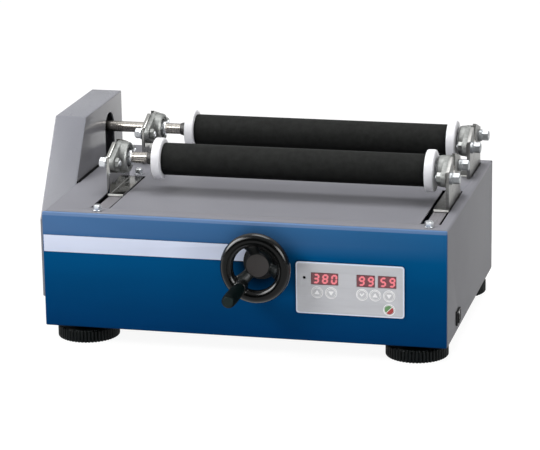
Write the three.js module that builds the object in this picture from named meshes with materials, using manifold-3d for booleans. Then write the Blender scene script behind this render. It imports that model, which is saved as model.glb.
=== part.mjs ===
// Pot mill rotator: a bench-top drive with one driven and one adjustable rubber roller.
// Millimetres, +X to the right of the front panel, +Y to the back, +Z up.
// Sizes below are measured from the base's left side (x), its front face (y) and the table (z).
import * as THREE from 'three';
import { mergeVertices } from 'three/addons/utils/BufferGeometryUtils.js';
import Module from 'manifold-3d';

const wasm = await Module();
wasm.setup();

// Base box
const base_width = 432;
const base_depth = 302;
const base_height = 125;
const foot_height = 18.5;
const sheet = 1.6;
const gap = 0.3; // clearance between neighbouring pieces
const overrun = 2; // how far cuts run past a face
const bend_radius = 3;
const panel_thick = 5;
const panel_bevel = 3;
const chassis_sheet = 2;
const deck_top = foot_height + base_height;
const deck_under = deck_top - sheet;
const chassis_top = foot_height + chassis_sheet;
const cover_front = panel_thick + gap;
const cover_back = base_depth - chassis_sheet - gap;

// Feet
const foot_radius = 33;
const foot_knurl_depth = 1.1;
const foot_knurl_count = 34;
const foot_disc_height = 13.5;
const foot_neck_radius = 12;
const front_foot_inset = 37;
const rear_foot_inset = 34.5;
const foot_inset_y = 35;

// Rollers
const axis_lift = 34.6;
const axis_height = deck_top + axis_lift;
const front_axis_y = 112;
const rear_axis_inset = 54;
const rear_axis_y = base_depth - rear_axis_inset;
const shaft_radius = 6;
const roller_radius = 17.4;
const ring_radius = 22.5;
const ring_width = 10;
const ring_round = 2.4;
const left_ring_distance = 28.9;
const right_ring_distance = 2.5;
const collar_length = 8.6;
const collar_taper = 6;
const collar_radius = 8.3;

// Brackets that carry the bearings
const bracket_plate = 3.5;
const bracket_front_half = 33;
const bracket_back_half = 40;
const bracket_shoulder = 7.2;
const bracket_top = 17.8;
const bracket_top_half = 8.5;
const foot_plate_thick = 3;
const foot_inset = 0.9;
const foot_right_margin = 0.8;
const foot_front_reach = 33;
const foot_back_reach = 45;
const fixed_foot_front = 22;
const fixed_foot_back = 40;
const lip_thick = 2.5;
const left_plate_shift = 2.8;

// Guide slots in the deck, windows of the fixed brackets, and the rails under both
const slot_width = 21.8;
const slot_length = 136;
const slot_spare = 5;
const slot_back = front_axis_y + foot_back_reach + slot_spare;
const slot_front = slot_back - slot_length;
const left_slot_x = 45.5;
const right_slot_inset = 10.7;
const right_slot_x = base_width - right_slot_inset - slot_width;
const window_gap = 1.3;
const window_front = rear_axis_y - fixed_foot_front - window_gap;
const window_back = rear_axis_y + fixed_foot_back + window_gap;
const rail_inset = 4.3;
const rail_width = 14.3;
const rail_thick = 6;
const rail_bolt_ahead = 11;
const rail_bolt_behind = 9;
const rail_bolt_front = slot_front - rail_bolt_ahead;
const rail_bolt_middle = slot_back + rail_bolt_behind;
const rail_end = 7;
const rail_front = rail_bolt_front - rail_end;
const rail_back = window_back + rail_end;
const rail_top = deck_under - gap;
const rail_under = rail_top - rail_thick;

// Bearing units with two bolts in a level line
const ear_offset = 28.7;
const ear_radius = 7.5;
const boss_radius = 17.5;
const boss_end_radius = 16.2;
const flange_thick = 5;
const boss_length = 8;
const housing_bore = 10.5;
const insert_nose = 3.2;
const insert_nose_radius = 8.5;

// Bolts
const bearing_bolt_radius = 3;
const bearing_bolt_flats = 10;
const bearing_bolt_head = 6.4;
const bearing_washer_radius = 6.6;
const bearing_washer = 1.6;
const bearing_nut = 4.5;
const bearing_bolt_end = 1.2;
const right_head_extra = 3;
const rail_bolt_radius = 2.5;
const rail_bolt_flats = 8;
const rail_bolt_head = 5.2;
const rail_washer_radius = 5;
const rail_washer = 1.1;

// Cross slide and lead screw
const screw_x = 237.4;
const screw_rise = 83.7;
const screw_height = foot_height + screw_rise;
const screw_radius = 7;
const screw_journal_radius = 5;
const screw_back = 212;
const thread_end_gap = 2;
const thrust_collar_radius = 9.5;
const thrust_collar = 3.5;
const slide_bar_depth = 40;
const slide_bar_thick = 10;
const nut_block_width = 30;
const nut_block_drop = 15;
const nut_block_under = screw_height - nut_block_drop;
const bush_flange_radius = 18.5;
const bush_flange = 3;
const bush_radius = 11;
const bush_back = 17;
const post_width = 24;
const post_depth = 12;
const post_cap = 10;
const post_front = screw_back - post_depth;
const thrust_collar_front = bush_back + gap;
const screw_thread_front = thrust_collar_front + thrust_collar;
const screw_thread_back = post_front - thread_end_gap;

// Handwheel: a dished wheel with three spokes
const wheel_plane = -26;
const rim_radius = 30.5;
const rim_section = 6.9;
const hub_radius = 13.4;
const hub_front = -17;
const hub_back = -bush_flange - 2 * gap;
const spoke_root_half = 6.2;
const spoke_end_half = 9;
const spoke_flatness = 0.6;
const spoke_angles = [105, 225, 345];
const grip_angle = 233;
const grip_arm = 25.6;
const grip_boss_radius = 6.6;
const grip_boss_proud = 0.2;
const grip_boss_front = wheel_plane - rim_section - grip_boss_proud;
const grip_front = -82;
const grip_radius = 7.5;
const grip_pin_radius = 3;
const grip_cap = 6;
const grip_pin_front = grip_front + grip_cap;
const wheel_seat_depth = 11;

// Belt housing on the left side
const drive_width = 36;
const drive_wall = 1.6;
const drive_head = 29.4;
const drive_top = axis_height + drive_head;
const drive_top_front = 165.7;
const drive_front = 99;
const drive_bend_rise = 88;
const drive_bend = foot_height + drive_bend_rise;
const notch_radius = 17.5;
const notch_shift = 4;
const notch_y = rear_axis_y + notch_shift;
const notch_drop = 2.6;
const notch_centre = axis_height - notch_drop;
const pulley_near = -8;
const pulley_width = 14;
const pulley_flange = 1.5;
const pulley_flange_rise = 2.5;
const roller_pulley_radius = 19.5;
const motor_pulley_radius = 13;
const belt_width = 10;
const belt_thick = 2.2;
const drive_shaft_end = -30;
const motor_shaft_radius = 5;
const motor_seat_depth = 12;
const gearbox_size = 70;
const gearbox_length = 46;
const motor_radius = 29;
const motor_length = 96;
const motor_height = chassis_top + gap + gearbox_size / 2;
const wall_hole_radius = 7;

// Control plate on the front panel; places on it are shares of its width and height
const control_left = 274.3;
const control_width = 113.9;
const control_rise = 30.7;
const control_bottom = foot_height + control_rise;
const control_height = 55.4;
const control_corner = 3;
const control_thick = 1.5;
const control_back = -gap;
const control_front = control_back - control_thick;
const window_bottom_share = 0.576;
const window_bottom = control_bottom + window_bottom_share * control_height;
const window_height = 12.4;
const window_left_shares = [0.143, 0.5645, 0.762];
const window_width_shares = [0.249, 0.165, 0.164];
const window_rise = 0.2;
const board_inset = 5;
const board_margin = 1.5;
const board_thick = 2.3;
const lamp_place_shares = [0.078, 0.695];
const lamp_radius = 1.3;
const lamp_rise = 0.4;
const key_radius = 5.1;
const key_rise = 0.5;
const key_thick = 1.2;
const key_shares = [
  { name: 'key_speed_up', across: 0.1975, up: 0.4205 },
  { name: 'key_speed_down', across: 0.3275, up: 0.4205 },
  { name: 'key_timer_set', across: 0.6135, up: 0.4205 },
  { name: 'key_time_up', across: 0.734, up: 0.4205 },
  { name: 'key_time_down', across: 0.862, up: 0.4205 },
  { name: 'key_start_stop', across: 0.862, up: 0.155 },
];

// Stripe on the front panel
const stripe_left = 1.5;
const stripe_right = 228;
const stripe_rise = 82.3;
const stripe_bottom = foot_height + stripe_rise;
const stripe_height = 18.2;
const stripe_thick = 0.5;

// Rocker switch on the right side
const switch_y = 66;
const switch_rise = 15;
const switch_height = foot_height + switch_rise;
const bezel_length = 21;
const bezel_height = 15;
const bezel_thick = 2;
const switch_body_length = 19;
const switch_body_height = 13;
const switch_depth = 18;
const rocker_pocket_depth = 9;
const rocker_pocket_length = 17.6;
const rocker_pocket_height = 11;
const rocker_half_length = 7.6;
const rocker_height = 10.4;
const rocker_root = -4.6;
const rocker_middle = 1.9;
const rocker_end = 2.9;
const rocker_tilt = 8;

// Power inlet on the back
const inlet_inset = 52;
const inlet_x = base_width - inlet_inset;
const inlet_rise = 32;
const inlet_height = foot_height + inlet_rise;
const inlet_flange_width = 50;
const inlet_flange_height = 25;
const inlet_flange = 2;
const inlet_body_width = 30;
const inlet_body_height = 22;
const inlet_body_depth = 20;
const inlet_recess_width = 24;
const inlet_recess_height = 16.5;
const inlet_recess_depth = 15;
const inlet_pin_width = 1.6;
const inlet_pin_height = 5;
const inlet_pin_length = 11;
const inlet_pin_spread = 7;

// Facets of round surfaces
const fine = 32;
const medium = 20;
const coarse = 10;
const rim_sides = 10;
const rim_facets = 40;
const hexagon = 6;
const cradle_steps = 12;
const corner_steps = 4;
const ring_round_steps = 2;
const full_turn = Math.PI * 2;

// Solid tools
function solid(geometry) {
  const plain = geometry.clone();
  plain.deleteAttribute('normal');
  plain.deleteAttribute('uv');
  const merged = mergeVertices(plain);
  return new wasm.Manifold(new wasm.Mesh({
    numProp: 3,
    vertProperties: new Float32Array(merged.attributes.position.array),
    triVerts: new Uint32Array(merged.index.array),
  }));
}

function geometryOf(manifold) {
  const mesh = manifold.getMesh();
  const places = new Float32Array(mesh.vertProperties);
  const geometry = new THREE.BufferGeometry();
  geometry.setAttribute('position', new THREE.BufferAttribute(places, mesh.numProp));
  geometry.setIndex(new THREE.BufferAttribute(new Uint32Array(mesh.triVerts), 1));
  geometry.computeVertexNormals();
  return geometry;
}

function join(first, ...others) {
  return geometryOf(others.reduce((sum, other) => sum.add(solid(other)), solid(first)));
}

function cut(first, ...tools) {
  return geometryOf(tools.reduce((rest, tool) => rest.subtract(solid(tool)), solid(first)));
}

function box(x0, x1, y0, y1, z0, z1) {
  const geometry = new THREE.BoxGeometry(x1 - x0, y1 - y0, z1 - z0);
  return geometry.translate((x0 + x1) / 2, (y0 + y1) / 2, (z0 + z1) / 2);
}

function span(middle, size) {
  return [middle - size / 2, middle + size / 2];
}

// A round bar along one axis: a and b are the other two coordinates, in X, Y, Z order.
function rod(axis, radius, from, to, a, b, segments = medium) {
  const geometry = new THREE.CylinderGeometry(radius, radius, to - from, segments);
  const middle = (from + to) / 2;
  if (axis === 'x') return geometry.rotateZ(-Math.PI / 2).translate(middle, a, b);
  if (axis === 'y') return geometry.translate(a, middle, b);
  return geometry.rotateX(Math.PI / 2).translate(a, b, middle);
}

// A turned piece along X; points are [x, radius] and the line closes on itself or on the axis.
function turnedX(points, y, z, segments = fine) {
  const profile = points.map(([x, r]) => new THREE.Vector2(r, x));
  const geometry = new THREE.LatheGeometry(profile, segments);
  return geometry.rotateZ(-Math.PI / 2).translate(0, y, z);
}

function turnedY(points, x, z, segments = medium) {
  const profile = points.map(([y, r]) => new THREE.Vector2(r, y));
  return new THREE.LatheGeometry(profile, segments).translate(x, 0, z);
}

function extruded(shape, depth) {
  return new THREE.ExtrudeGeometry(shape, { depth, bevelEnabled: false, curveSegments: corner_steps });
}

// An outline in the Y-Z plane, drawn out along X.
function plateX(shape, from, to) {
  const turn = new THREE.Matrix4().makeBasis(
    new THREE.Vector3(0, 1, 0), new THREE.Vector3(0, 0, 1), new THREE.Vector3(1, 0, 0));
  return extruded(shape, to - from).applyMatrix4(turn).translate(from, 0, 0);
}

// An outline in the X-Z plane, drawn out along Y.
function plateY(shape, from, to) {
  return extruded(shape, to - from).rotateX(Math.PI / 2).translate(0, to, 0);
}

function polygon(points) {
  return new THREE.Shape(points.map(([a, b]) => new THREE.Vector2(a, b)));
}

function roundHole(a, b, radius, segments = medium) {
  const hole = new THREE.Path();
  for (let i = 0; i < segments; i += 1) {
    const angle = (i / segments) * full_turn;
    const place = [a + radius * Math.cos(angle), b + radius * Math.sin(angle)];
    if (i === 0) hole.moveTo(...place);
    else hole.lineTo(...place);
  }
  hole.closePath();
  return hole;
}

function roundedRectangle(left, bottom, width, height, corner) {
  const shape = new THREE.Shape();
  const right = left + width;
  const top = bottom + height;
  shape.moveTo(left + corner, bottom);
  shape.lineTo(right - corner, bottom);
  shape.absarc(right - corner, bottom + corner, corner, -Math.PI / 2, 0);
  shape.lineTo(right, top - corner);
  shape.absarc(right - corner, top - corner, corner, 0, Math.PI / 2);
  shape.lineTo(left + corner, top);
  shape.absarc(left + corner, top - corner, corner, Math.PI / 2, Math.PI);
  shape.lineTo(left, bottom + corner);
  shape.absarc(left + corner, bottom + corner, corner, Math.PI, Math.PI * 3 / 2);
  return shape;
}

// The outline around two circles on one line, as a belt runs round two pulleys.
function beltOutline(first_radius, second_radius, spread, steps) {
  const lean = Math.acos((first_radius - second_radius) / spread);
  const points = [];
  for (let i = 0; i <= steps; i += 1) {
    const angle = lean + (full_turn - 2 * lean) * (i / steps);
    points.push([first_radius * Math.cos(angle), first_radius * Math.sin(angle)]);
  }
  for (let i = 0; i <= steps; i += 1) {
    const angle = -lean + 2 * lean * (i / steps);
    points.push([spread + second_radius * Math.cos(angle), second_radius * Math.sin(angle)]);
  }
  return points;
}

// Materials
function paint(color, roughness, metalness = 0) {
  return new THREE.MeshStandardMaterial({ color, roughness, metalness });
}
const grey_paint = paint(0x909195, 0.45);
const light_grey_paint = paint(0xa4a6ac, 0.45);
const blue_paint = paint(0x14508a, 0.4);
const black_rubber = paint(0x232426, 0.85);
const black_plastic = paint(0x141416, 0.3);
const white_plastic = paint(0xeeeef0, 0.4);
const steel = paint(0xb9bbbd, 0.3, 1);
const bright_steel = paint(0xd6d8da, 0.25, 1);
const zinc = paint(0xa9acae, 0.45, 1);
const cast_grey = paint(0x6f7275, 0.6, 1);
const silver_plate = paint(0xb4b6ba, 0.4, 1);
const red_window = paint(0x4a0c10, 0.15);
const label_white = paint(0xd6d9ea, 0.4);
const dark_belt = paint(0x1a1a1b, 0.8);

const rotator = new THREE.Group();
const base = new THREE.Group();
rotator.add(base);

function piece(name, geometry, material) {
  const mesh = new THREE.Mesh(geometry, material);
  mesh.name = name;
  base.add(mesh);
}

// Cover: deck and two sides in one bent sheet, with the slots and windows of the brackets
function coverOutline() {
  const inner = bend_radius - sheet;
  const shape = new THREE.Shape();
  shape.moveTo(0, foot_height);
  shape.lineTo(sheet, foot_height);
  shape.lineTo(sheet, deck_under - inner);
  shape.absarc(bend_radius, deck_under - inner, inner, Math.PI, Math.PI / 2, true);
  shape.lineTo(base_width - bend_radius, deck_under);
  shape.absarc(base_width - bend_radius, deck_under - inner, inner, Math.PI / 2, 0, true);
  shape.lineTo(base_width - sheet, foot_height);
  shape.lineTo(base_width, foot_height);
  shape.lineTo(base_width, deck_top - bend_radius);
  shape.absarc(base_width - bend_radius, deck_top - bend_radius, bend_radius, 0, Math.PI / 2);
  shape.lineTo(bend_radius, deck_top);
  shape.absarc(bend_radius, deck_top - bend_radius, bend_radius, Math.PI / 2, Math.PI);
  return shape;
}
const sides = [
  { name: 'left', slot: left_slot_x, outward: -1 },
  { name: 'right', slot: right_slot_x, outward: 1 },
];
const cover_cuts = [];
for (const side of sides) {
  const slot_end = side.slot + slot_width;
  cover_cuts.push(box(side.slot, slot_end, slot_front, slot_back, rail_top, deck_top + overrun));
  cover_cuts.push(box(side.slot, slot_end, window_front, window_back, rail_top, deck_top + overrun));
  for (const y of [rail_bolt_front, rail_bolt_middle]) {
    const x = side.slot + rail_inset + rail_width / 2;
    cover_cuts.push(rod('z', rail_bolt_radius + gap, rail_top, deck_top + overrun, x, y, coarse));
  }
}
cover_cuts.push(rod('x', wall_hole_radius, -overrun, sheet + overrun, rear_axis_y, motor_height));
cover_cuts.push(box(base_width - sheet - overrun, base_width + overrun,
  ...span(switch_y, switch_body_length + 2 * gap), ...span(switch_height, switch_body_height + 2 * gap)));
piece('base_cover', cut(plateY(coverOutline(), cover_front, cover_back), ...cover_cuts), grey_paint);

// Front panel with bevelled front edges, a pocket for the display board and the hole of the screw bush
function bevelledPanel() {
  const ring = (inset, y) => [
    [inset, foot_height + inset], [base_width - inset, foot_height + inset],
    [base_width - inset, deck_top - inset], [inset, deck_top - inset],
  ].map(([x, z]) => [x, y, z]);
  const points = [...ring(panel_bevel, 0), ...ring(0, panel_bevel), ...ring(0, panel_thick)].flat();
  const faces = [0, 1, 2, 0, 2, 3, 8, 10, 9, 8, 11, 10];
  for (const level of [0, 4]) {
    for (let i = 0; i < 4; i += 1) {
      const next = (i + 1) % 4;
      faces.push(level + i, level + 4 + i, level + next, level + next, level + 4 + i, level + 4 + next);
    }
  }
  const geometry = new THREE.BufferGeometry();
  geometry.setAttribute('position', new THREE.Float32BufferAttribute(points, 3));
  geometry.setIndex(faces);
  return geometry;
}
const board_bottom = window_bottom - board_margin;
const board_top = window_bottom + window_height + board_margin;
const board_left = control_left + board_inset;
const board_right = control_left + control_width - board_inset;
const board_back = board_thick + gap;
piece('front_panel', cut(bevelledPanel(),
  box(board_left - gap, board_right + gap, -overrun, board_back + gap, board_bottom - gap, board_top + gap),
  rod('y', bush_radius + gap, -overrun, panel_thick + overrun, screw_x, screw_height)), blue_paint);

// Chassis: bottom and back sheet, with the post that carries the back end of the screw
const chassis_side = sheet + gap;
const back_front = base_depth - chassis_sheet;
const post_bore = rod('y', screw_journal_radius + gap, post_front - overrun, screw_back + overrun,
  screw_x, screw_height);
const inlet_hole = box(...span(inlet_x, inlet_body_width + 2 * gap),
  back_front - overrun, base_depth + overrun, ...span(inlet_height, inlet_body_height + 2 * gap));
piece('chassis', cut(join(
  box(chassis_side, base_width - chassis_side, cover_front, base_depth, foot_height, chassis_top),
  box(0, base_width, back_front, base_depth, foot_height, deck_top),
  box(...span(screw_x, post_width), post_front, screw_back, foot_height, screw_height + post_cap),
), post_bore, inlet_hole), grey_paint);

// Feet: knurled discs on a neck
function footGeometry(x, y) {
  const rim = [];
  for (let i = 0; i < 2 * foot_knurl_count; i += 1) {
    const angle = (i / (2 * foot_knurl_count)) * full_turn;
    const radius = i % 2 === 0 ? foot_radius : foot_radius - foot_knurl_depth;
    rim.push([x + radius * Math.cos(angle), y + radius * Math.sin(angle)]);
  }
  const neck = rod('z', foot_neck_radius, foot_disc_height / 2, foot_height - gap, x, y);
  return join(extruded(polygon(rim), foot_disc_height), neck);
}
for (const [row, inset, y] of [['front', front_foot_inset, foot_inset_y],
  ['rear', rear_foot_inset, base_depth - foot_inset_y]]) {
  piece(`foot_${row}_left`, footGeometry(inset, y), black_rubber);
  piece(`foot_${row}_right`, footGeometry(base_width - inset, y), black_rubber);
}

// Hexagon bolt on +Z: washer, head above it, shank below it and, where wanted, a nut on the shank
function hexBolt(flats, head, washer_radius, washer, shank_radius, shank_length, nut_from = 0, nut = 0) {
  const corner = flats / Math.sqrt(3);
  const parts = [
    rod('z', washer_radius, 0, washer, 0, 0, coarse),
    rod('z', corner, washer / 2, washer + head, 0, 0, hexagon),
    rod('z', shank_radius, -shank_length, washer / 2, 0, 0, coarse),
  ];
  if (nut > 0) parts.push(rod('z', corner, -nut_from - nut, -nut_from, 0, 0, hexagon));
  return join(...parts);
}

// Guide rails and their bolts
for (const side of sides) {
  const left = side.slot + rail_inset;
  const middle = left + rail_width / 2;
  const bolt_places = [['front', rail_bolt_front], ['middle', rail_bolt_middle]];
  const holes = bolt_places.map(([, y]) => rod('z', rail_bolt_radius + gap, rail_under - gap, rail_top + gap,
    middle, y, coarse));
  const rail = box(left, left + rail_width, rail_front, rail_back, rail_under, rail_top);
  piece(`guide_rail_${side.name}`, cut(rail, ...holes), bright_steel);
  for (const [row, y] of bolt_places) {
    const bolt = hexBolt(rail_bolt_flats, rail_bolt_head, rail_washer_radius, rail_washer,
      rail_bolt_radius, deck_top + gap - rail_under);
    piece(`rail_bolt_${row}_${side.name}`, bolt.translate(middle, y, deck_top + gap), zinc);
  }
}

// Where the bracket plate and the bearing stand along X, on each side
function stations(side) {
  const on_left = side.outward < 0;
  const foot_right = side.slot + slot_width - foot_right_margin;
  const plate_left = on_left ? side.slot + left_plate_shift : foot_right - bracket_plate;
  const plate_right = plate_left + bracket_plate;
  const foot_left = on_left ? plate_left : side.slot + rail_inset;
  const lip_left = on_left ? side.slot + foot_inset : side.slot + rail_inset + rail_width + gap;
  const lip_right = on_left ? lip_left + lip_thick : foot_right;
  const outer_face = on_left ? plate_left : plate_right;
  const inner_face = on_left ? plate_right : plate_left;
  return { foot_left, foot_right, plate_left, plate_right, lip_left, lip_right, outer_face, inner_face };
}

function earHoles(axis_y) {
  return [-ear_offset, ear_offset].map((offset) => roundHole(axis_y + offset, axis_height,
    bearing_bolt_radius + gap, coarse));
}

// A plate with an open cradle, so that a roller with its bearings can be set in from above
function bracketPlate(side, axis_y) {
  const place = stations(side);
  const foot_top = deck_under + foot_plate_thick;
  const bore = shaft_radius + gap;
  const cradle = [];
  for (let i = 0; i <= cradle_steps; i += 1) {
    const angle = -Math.PI * (i / cradle_steps);
    cradle.push([axis_y + bore * Math.cos(angle), axis_height + bore * Math.sin(angle)]);
  }
  const shape = polygon([
    [axis_y - bracket_front_half, foot_top - foot_plate_thick / 2],
    [axis_y + bracket_back_half, foot_top - foot_plate_thick / 2],
    [axis_y + bracket_back_half, axis_height + bracket_shoulder],
    [axis_y + bracket_top_half, axis_height + bracket_top],
    [axis_y + bore, axis_height + bracket_top],
    ...cradle,
    [axis_y - bore, axis_height + bracket_top],
    [axis_y - bracket_top_half, axis_height + bracket_top],
    [axis_y - bracket_front_half, axis_height + bracket_shoulder],
  ]);
  shape.holes.push(...earHoles(axis_y));
  return plateX(shape, place.plate_left, place.plate_right);
}

const lip_bottom = rail_under - gap - slide_bar_thick;
const slide_bar_left = stations(sides[0]).lip_right + gap;
const slide_bar_right = stations(sides[1]).lip_left - gap;
for (const side of sides) {
  const place = stations(side);
  const foot_top = deck_under + foot_plate_thick;
  const lip = box(place.lip_left, place.lip_right, ...span(front_axis_y, slide_bar_depth),
    lip_bottom, foot_top);
  const slide_foot = box(place.foot_left, place.foot_right, front_axis_y - foot_front_reach,
    front_axis_y + foot_back_reach, deck_under, foot_top);
  piece(`sliding_bracket_${side.name}`, join(slide_foot, lip, bracketPlate(side, front_axis_y)),
    bright_steel);
  const window_edge = rear_axis_y - fixed_foot_front;
  const fixed_foot = box(place.foot_left, place.foot_right, window_edge, rear_axis_y + fixed_foot_back,
    deck_under, foot_top);
  const below_deck = box(place.plate_left - overrun, place.plate_right + overrun,
    window_edge - bracket_front_half, window_edge, deck_under - overrun, deck_top + gap);
  piece(`fixed_bracket_${side.name}`, join(fixed_foot, cut(bracketPlate(side, rear_axis_y), below_deck)),
    bright_steel);
}

// Bearing housings: a flange with two ears and a round boss
function housing(side, axis_y) {
  const place = stations(side);
  const direction = -side.outward;
  const flange_start = place.inner_face + direction * gap;
  const flange_end = flange_start + direction * flange_thick;
  const boss_end = flange_end + direction * boss_length;
  const lean = Math.acos((boss_radius - ear_radius) / ear_offset);
  const outline = [];
  const steps = corner_steps;
  const arc = (centre, radius, from, to) => {
    for (let i = 0; i <= steps; i += 1) {
      const angle = from + (to - from) * (i / steps);
      outline.push([axis_y + centre + radius * Math.cos(angle), axis_height + radius * Math.sin(angle)]);
    }
  };
  arc(ear_offset, ear_radius, -lean, lean);
  arc(0, boss_radius, lean, Math.PI - lean);
  arc(-ear_offset, ear_radius, Math.PI - lean, Math.PI + lean);
  arc(0, boss_radius, Math.PI + lean, full_turn - lean);
  const shape = polygon(outline);
  shape.holes.push(roundHole(axis_y, axis_height, housing_bore), ...earHoles(axis_y));
  const flange = plateX(shape, Math.min(flange_start, flange_end), Math.max(flange_start, flange_end));
  const boss_root = flange_end - direction * flange_thick / 2;
  const profile = [
    [boss_root, housing_bore], [boss_root, boss_radius - gap], [flange_end, boss_radius - gap],
    [boss_end, boss_end_radius], [boss_end, housing_bore], [boss_root, housing_bore],
  ];
  const boss = turnedX(direction > 0 ? profile : profile.reverse(), axis_y, axis_height, medium);
  return join(flange, boss);
}

function bearingBolt(side, y) {
  const place = stations(side);
  const grip_length = bracket_plate + gap + flange_thick + 2 * gap;
  const length = grip_length + bearing_nut + bearing_bolt_end;
  const head = side.outward > 0 ? bearing_bolt_head + right_head_extra : bearing_bolt_head;
  const bolt = hexBolt(bearing_bolt_flats, head, bearing_washer_radius, bearing_washer,
    bearing_bolt_radius, length + gap, grip_length, bearing_nut);
  bolt.rotateY(side.outward * Math.PI / 2);
  return bolt.translate(place.outer_face + side.outward * gap, y, axis_height);
}

for (const side of sides) {
  piece(`front_bearing_${side.name}`, housing(side, front_axis_y), cast_grey);
  piece(`rear_bearing_${side.name}`, housing(side, rear_axis_y), cast_grey);
  for (const [row, axis_y] of [['front', front_axis_y], ['rear', rear_axis_y]]) {
    piece(`${row}_bearing_bolt_near_${side.name}`, bearingBolt(side, axis_y - ear_offset), zinc);
    piece(`${row}_bearing_bolt_far_${side.name}`, bearingBolt(side, axis_y + ear_offset), zinc);
  }
}

// Rollers: shaft with the bearing inserts and collars turned on it, rubber sleeve and two end rings
const housing_depth = gap + flange_thick + boss_length;
const left_ring_x = stations(sides[0]).inner_face + housing_depth + left_ring_distance;
const right_ring_end = stations(sides[1]).inner_face - housing_depth - right_ring_distance;
const right_ring_x = right_ring_end - ring_width;
function shaftProfile(left_end) {
  const [left, right] = sides.map(stations);
  const insert_radius = housing_bore - gap;
  const left_insert = left.inner_face + 2 * gap;
  const left_face = left.inner_face + housing_depth - 2 * gap;
  const left_nose = left.inner_face + housing_depth + insert_nose;
  const right_insert = right.inner_face - 2 * gap;
  const right_face = right.inner_face - housing_depth + 2 * gap;
  const collar_start = left_ring_x - gap - collar_length;
  return [
    [left_end, 0], [left_end, shaft_radius], [left_insert, shaft_radius], [left_insert, insert_radius],
    [left_face, insert_radius], [left_face, insert_nose_radius], [left_nose, insert_nose_radius],
    [left_nose, shaft_radius], [collar_start, shaft_radius], [collar_start + collar_taper, collar_radius],
    [left_ring_x - gap, collar_radius], [left_ring_x - gap, shaft_radius],
    [right_ring_end + gap, shaft_radius], [right_ring_end + gap, insert_nose_radius],
    [right_face, insert_nose_radius], [right_face, insert_radius],
    [right_insert, insert_radius], [right_insert, shaft_radius],
    [right.outer_face, shaft_radius], [right.outer_face, 0],
  ];
}

function endRing(from, y) {
  const to = from + ring_width;
  const steps = ring_round_steps;
  const bore = shaft_radius + gap;
  const edge = [];
  for (let i = 0; i <= steps; i += 1) {
    const angle = (i / steps) * Math.PI / 2;
    edge.push([ring_round * (1 - Math.cos(angle)), ring_radius - ring_round * (1 - Math.sin(angle))]);
  }
  const left_edge = edge.map(([along, radius]) => [from + along, radius]);
  const right_edge = edge.map(([along, radius]) => [to - along, radius]).reverse();
  return turnedX([[from, bore], ...left_edge, ...right_edge, [to, bore], [from, bore]], y, axis_height);
}

for (const [row, axis_y, left_end] of [
  ['front', front_axis_y, stations(sides[0]).outer_face], ['rear', rear_axis_y, drive_shaft_end]]) {
  const sleeve_left = left_ring_x + ring_width + gap;
  const sleeve_right = right_ring_x - gap;
  const bore = shaft_radius + gap;
  piece(`${row}_shaft`, turnedX(shaftProfile(left_end), axis_y, axis_height, medium), steel);
  piece(`${row}_roller`, turnedX([
    [sleeve_left, bore], [sleeve_left, roller_radius], [sleeve_right, roller_radius], [sleeve_right, bore],
    [sleeve_left, bore],
  ], axis_y, axis_height), black_rubber);
  piece(`${row}_ring_left`, endRing(left_ring_x, axis_y), white_plastic);
  piece(`${row}_ring_right`, endRing(right_ring_x, axis_y), white_plastic);
}

// Cross slide: the bar between the bracket lips, with the nut block under it
const slide_span = span(front_axis_y, slide_bar_depth);
piece('cross_slide', cut(join(
  box(slide_bar_left, slide_bar_right, ...slide_span, lip_bottom, rail_under - gap),
  box(...span(screw_x, nut_block_width), ...slide_span, nut_block_under, rail_under - slide_bar_thick / 2),
), rod('y', screw_radius + gap, ...span(front_axis_y, slide_bar_depth + overrun), screw_x, screw_height)),
zinc);

// Lead screw with its thrust collar, and the flanged bush it turns in
const wheel_seat_front = hub_back - wheel_seat_depth;
piece('lead_screw', turnedY([
  [wheel_seat_front + gap, 0], [wheel_seat_front + gap, shaft_radius],
  [thrust_collar_front, shaft_radius], [thrust_collar_front, thrust_collar_radius],
  [screw_thread_front, thrust_collar_radius], [screw_thread_front, screw_radius],
  [screw_thread_back, screw_radius], [screw_thread_back, screw_journal_radius],
  [screw_back, screw_journal_radius], [screw_back, 0],
], screw_x, screw_height), steel);
const bush_bore = shaft_radius + gap;
piece('screw_bush', turnedY([
  [-gap - bush_flange, bush_bore], [-gap - bush_flange, bush_flange_radius], [-gap, bush_flange_radius],
  [-gap, bush_radius], [bush_back, bush_radius], [bush_back, bush_bore], [-gap - bush_flange, bush_bore],
], screw_x, screw_height), black_plastic);

// Handwheel, and the grip that turns on its pin
const wheelPoint = (angle, radius, y) => new THREE.Vector3(
  screw_x + radius * Math.cos(THREE.MathUtils.degToRad(angle)), y,
  screw_height + radius * Math.sin(THREE.MathUtils.degToRad(angle)));
const grip_place = wheelPoint(grip_angle, grip_arm, 0);
const rim = new THREE.TorusGeometry(rim_radius, rim_section, rim_sides, rim_facets)
  .rotateX(Math.PI / 2).translate(screw_x, wheel_plane, screw_height);
const hub_middle = (hub_front + hub_back) / 2;
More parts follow.
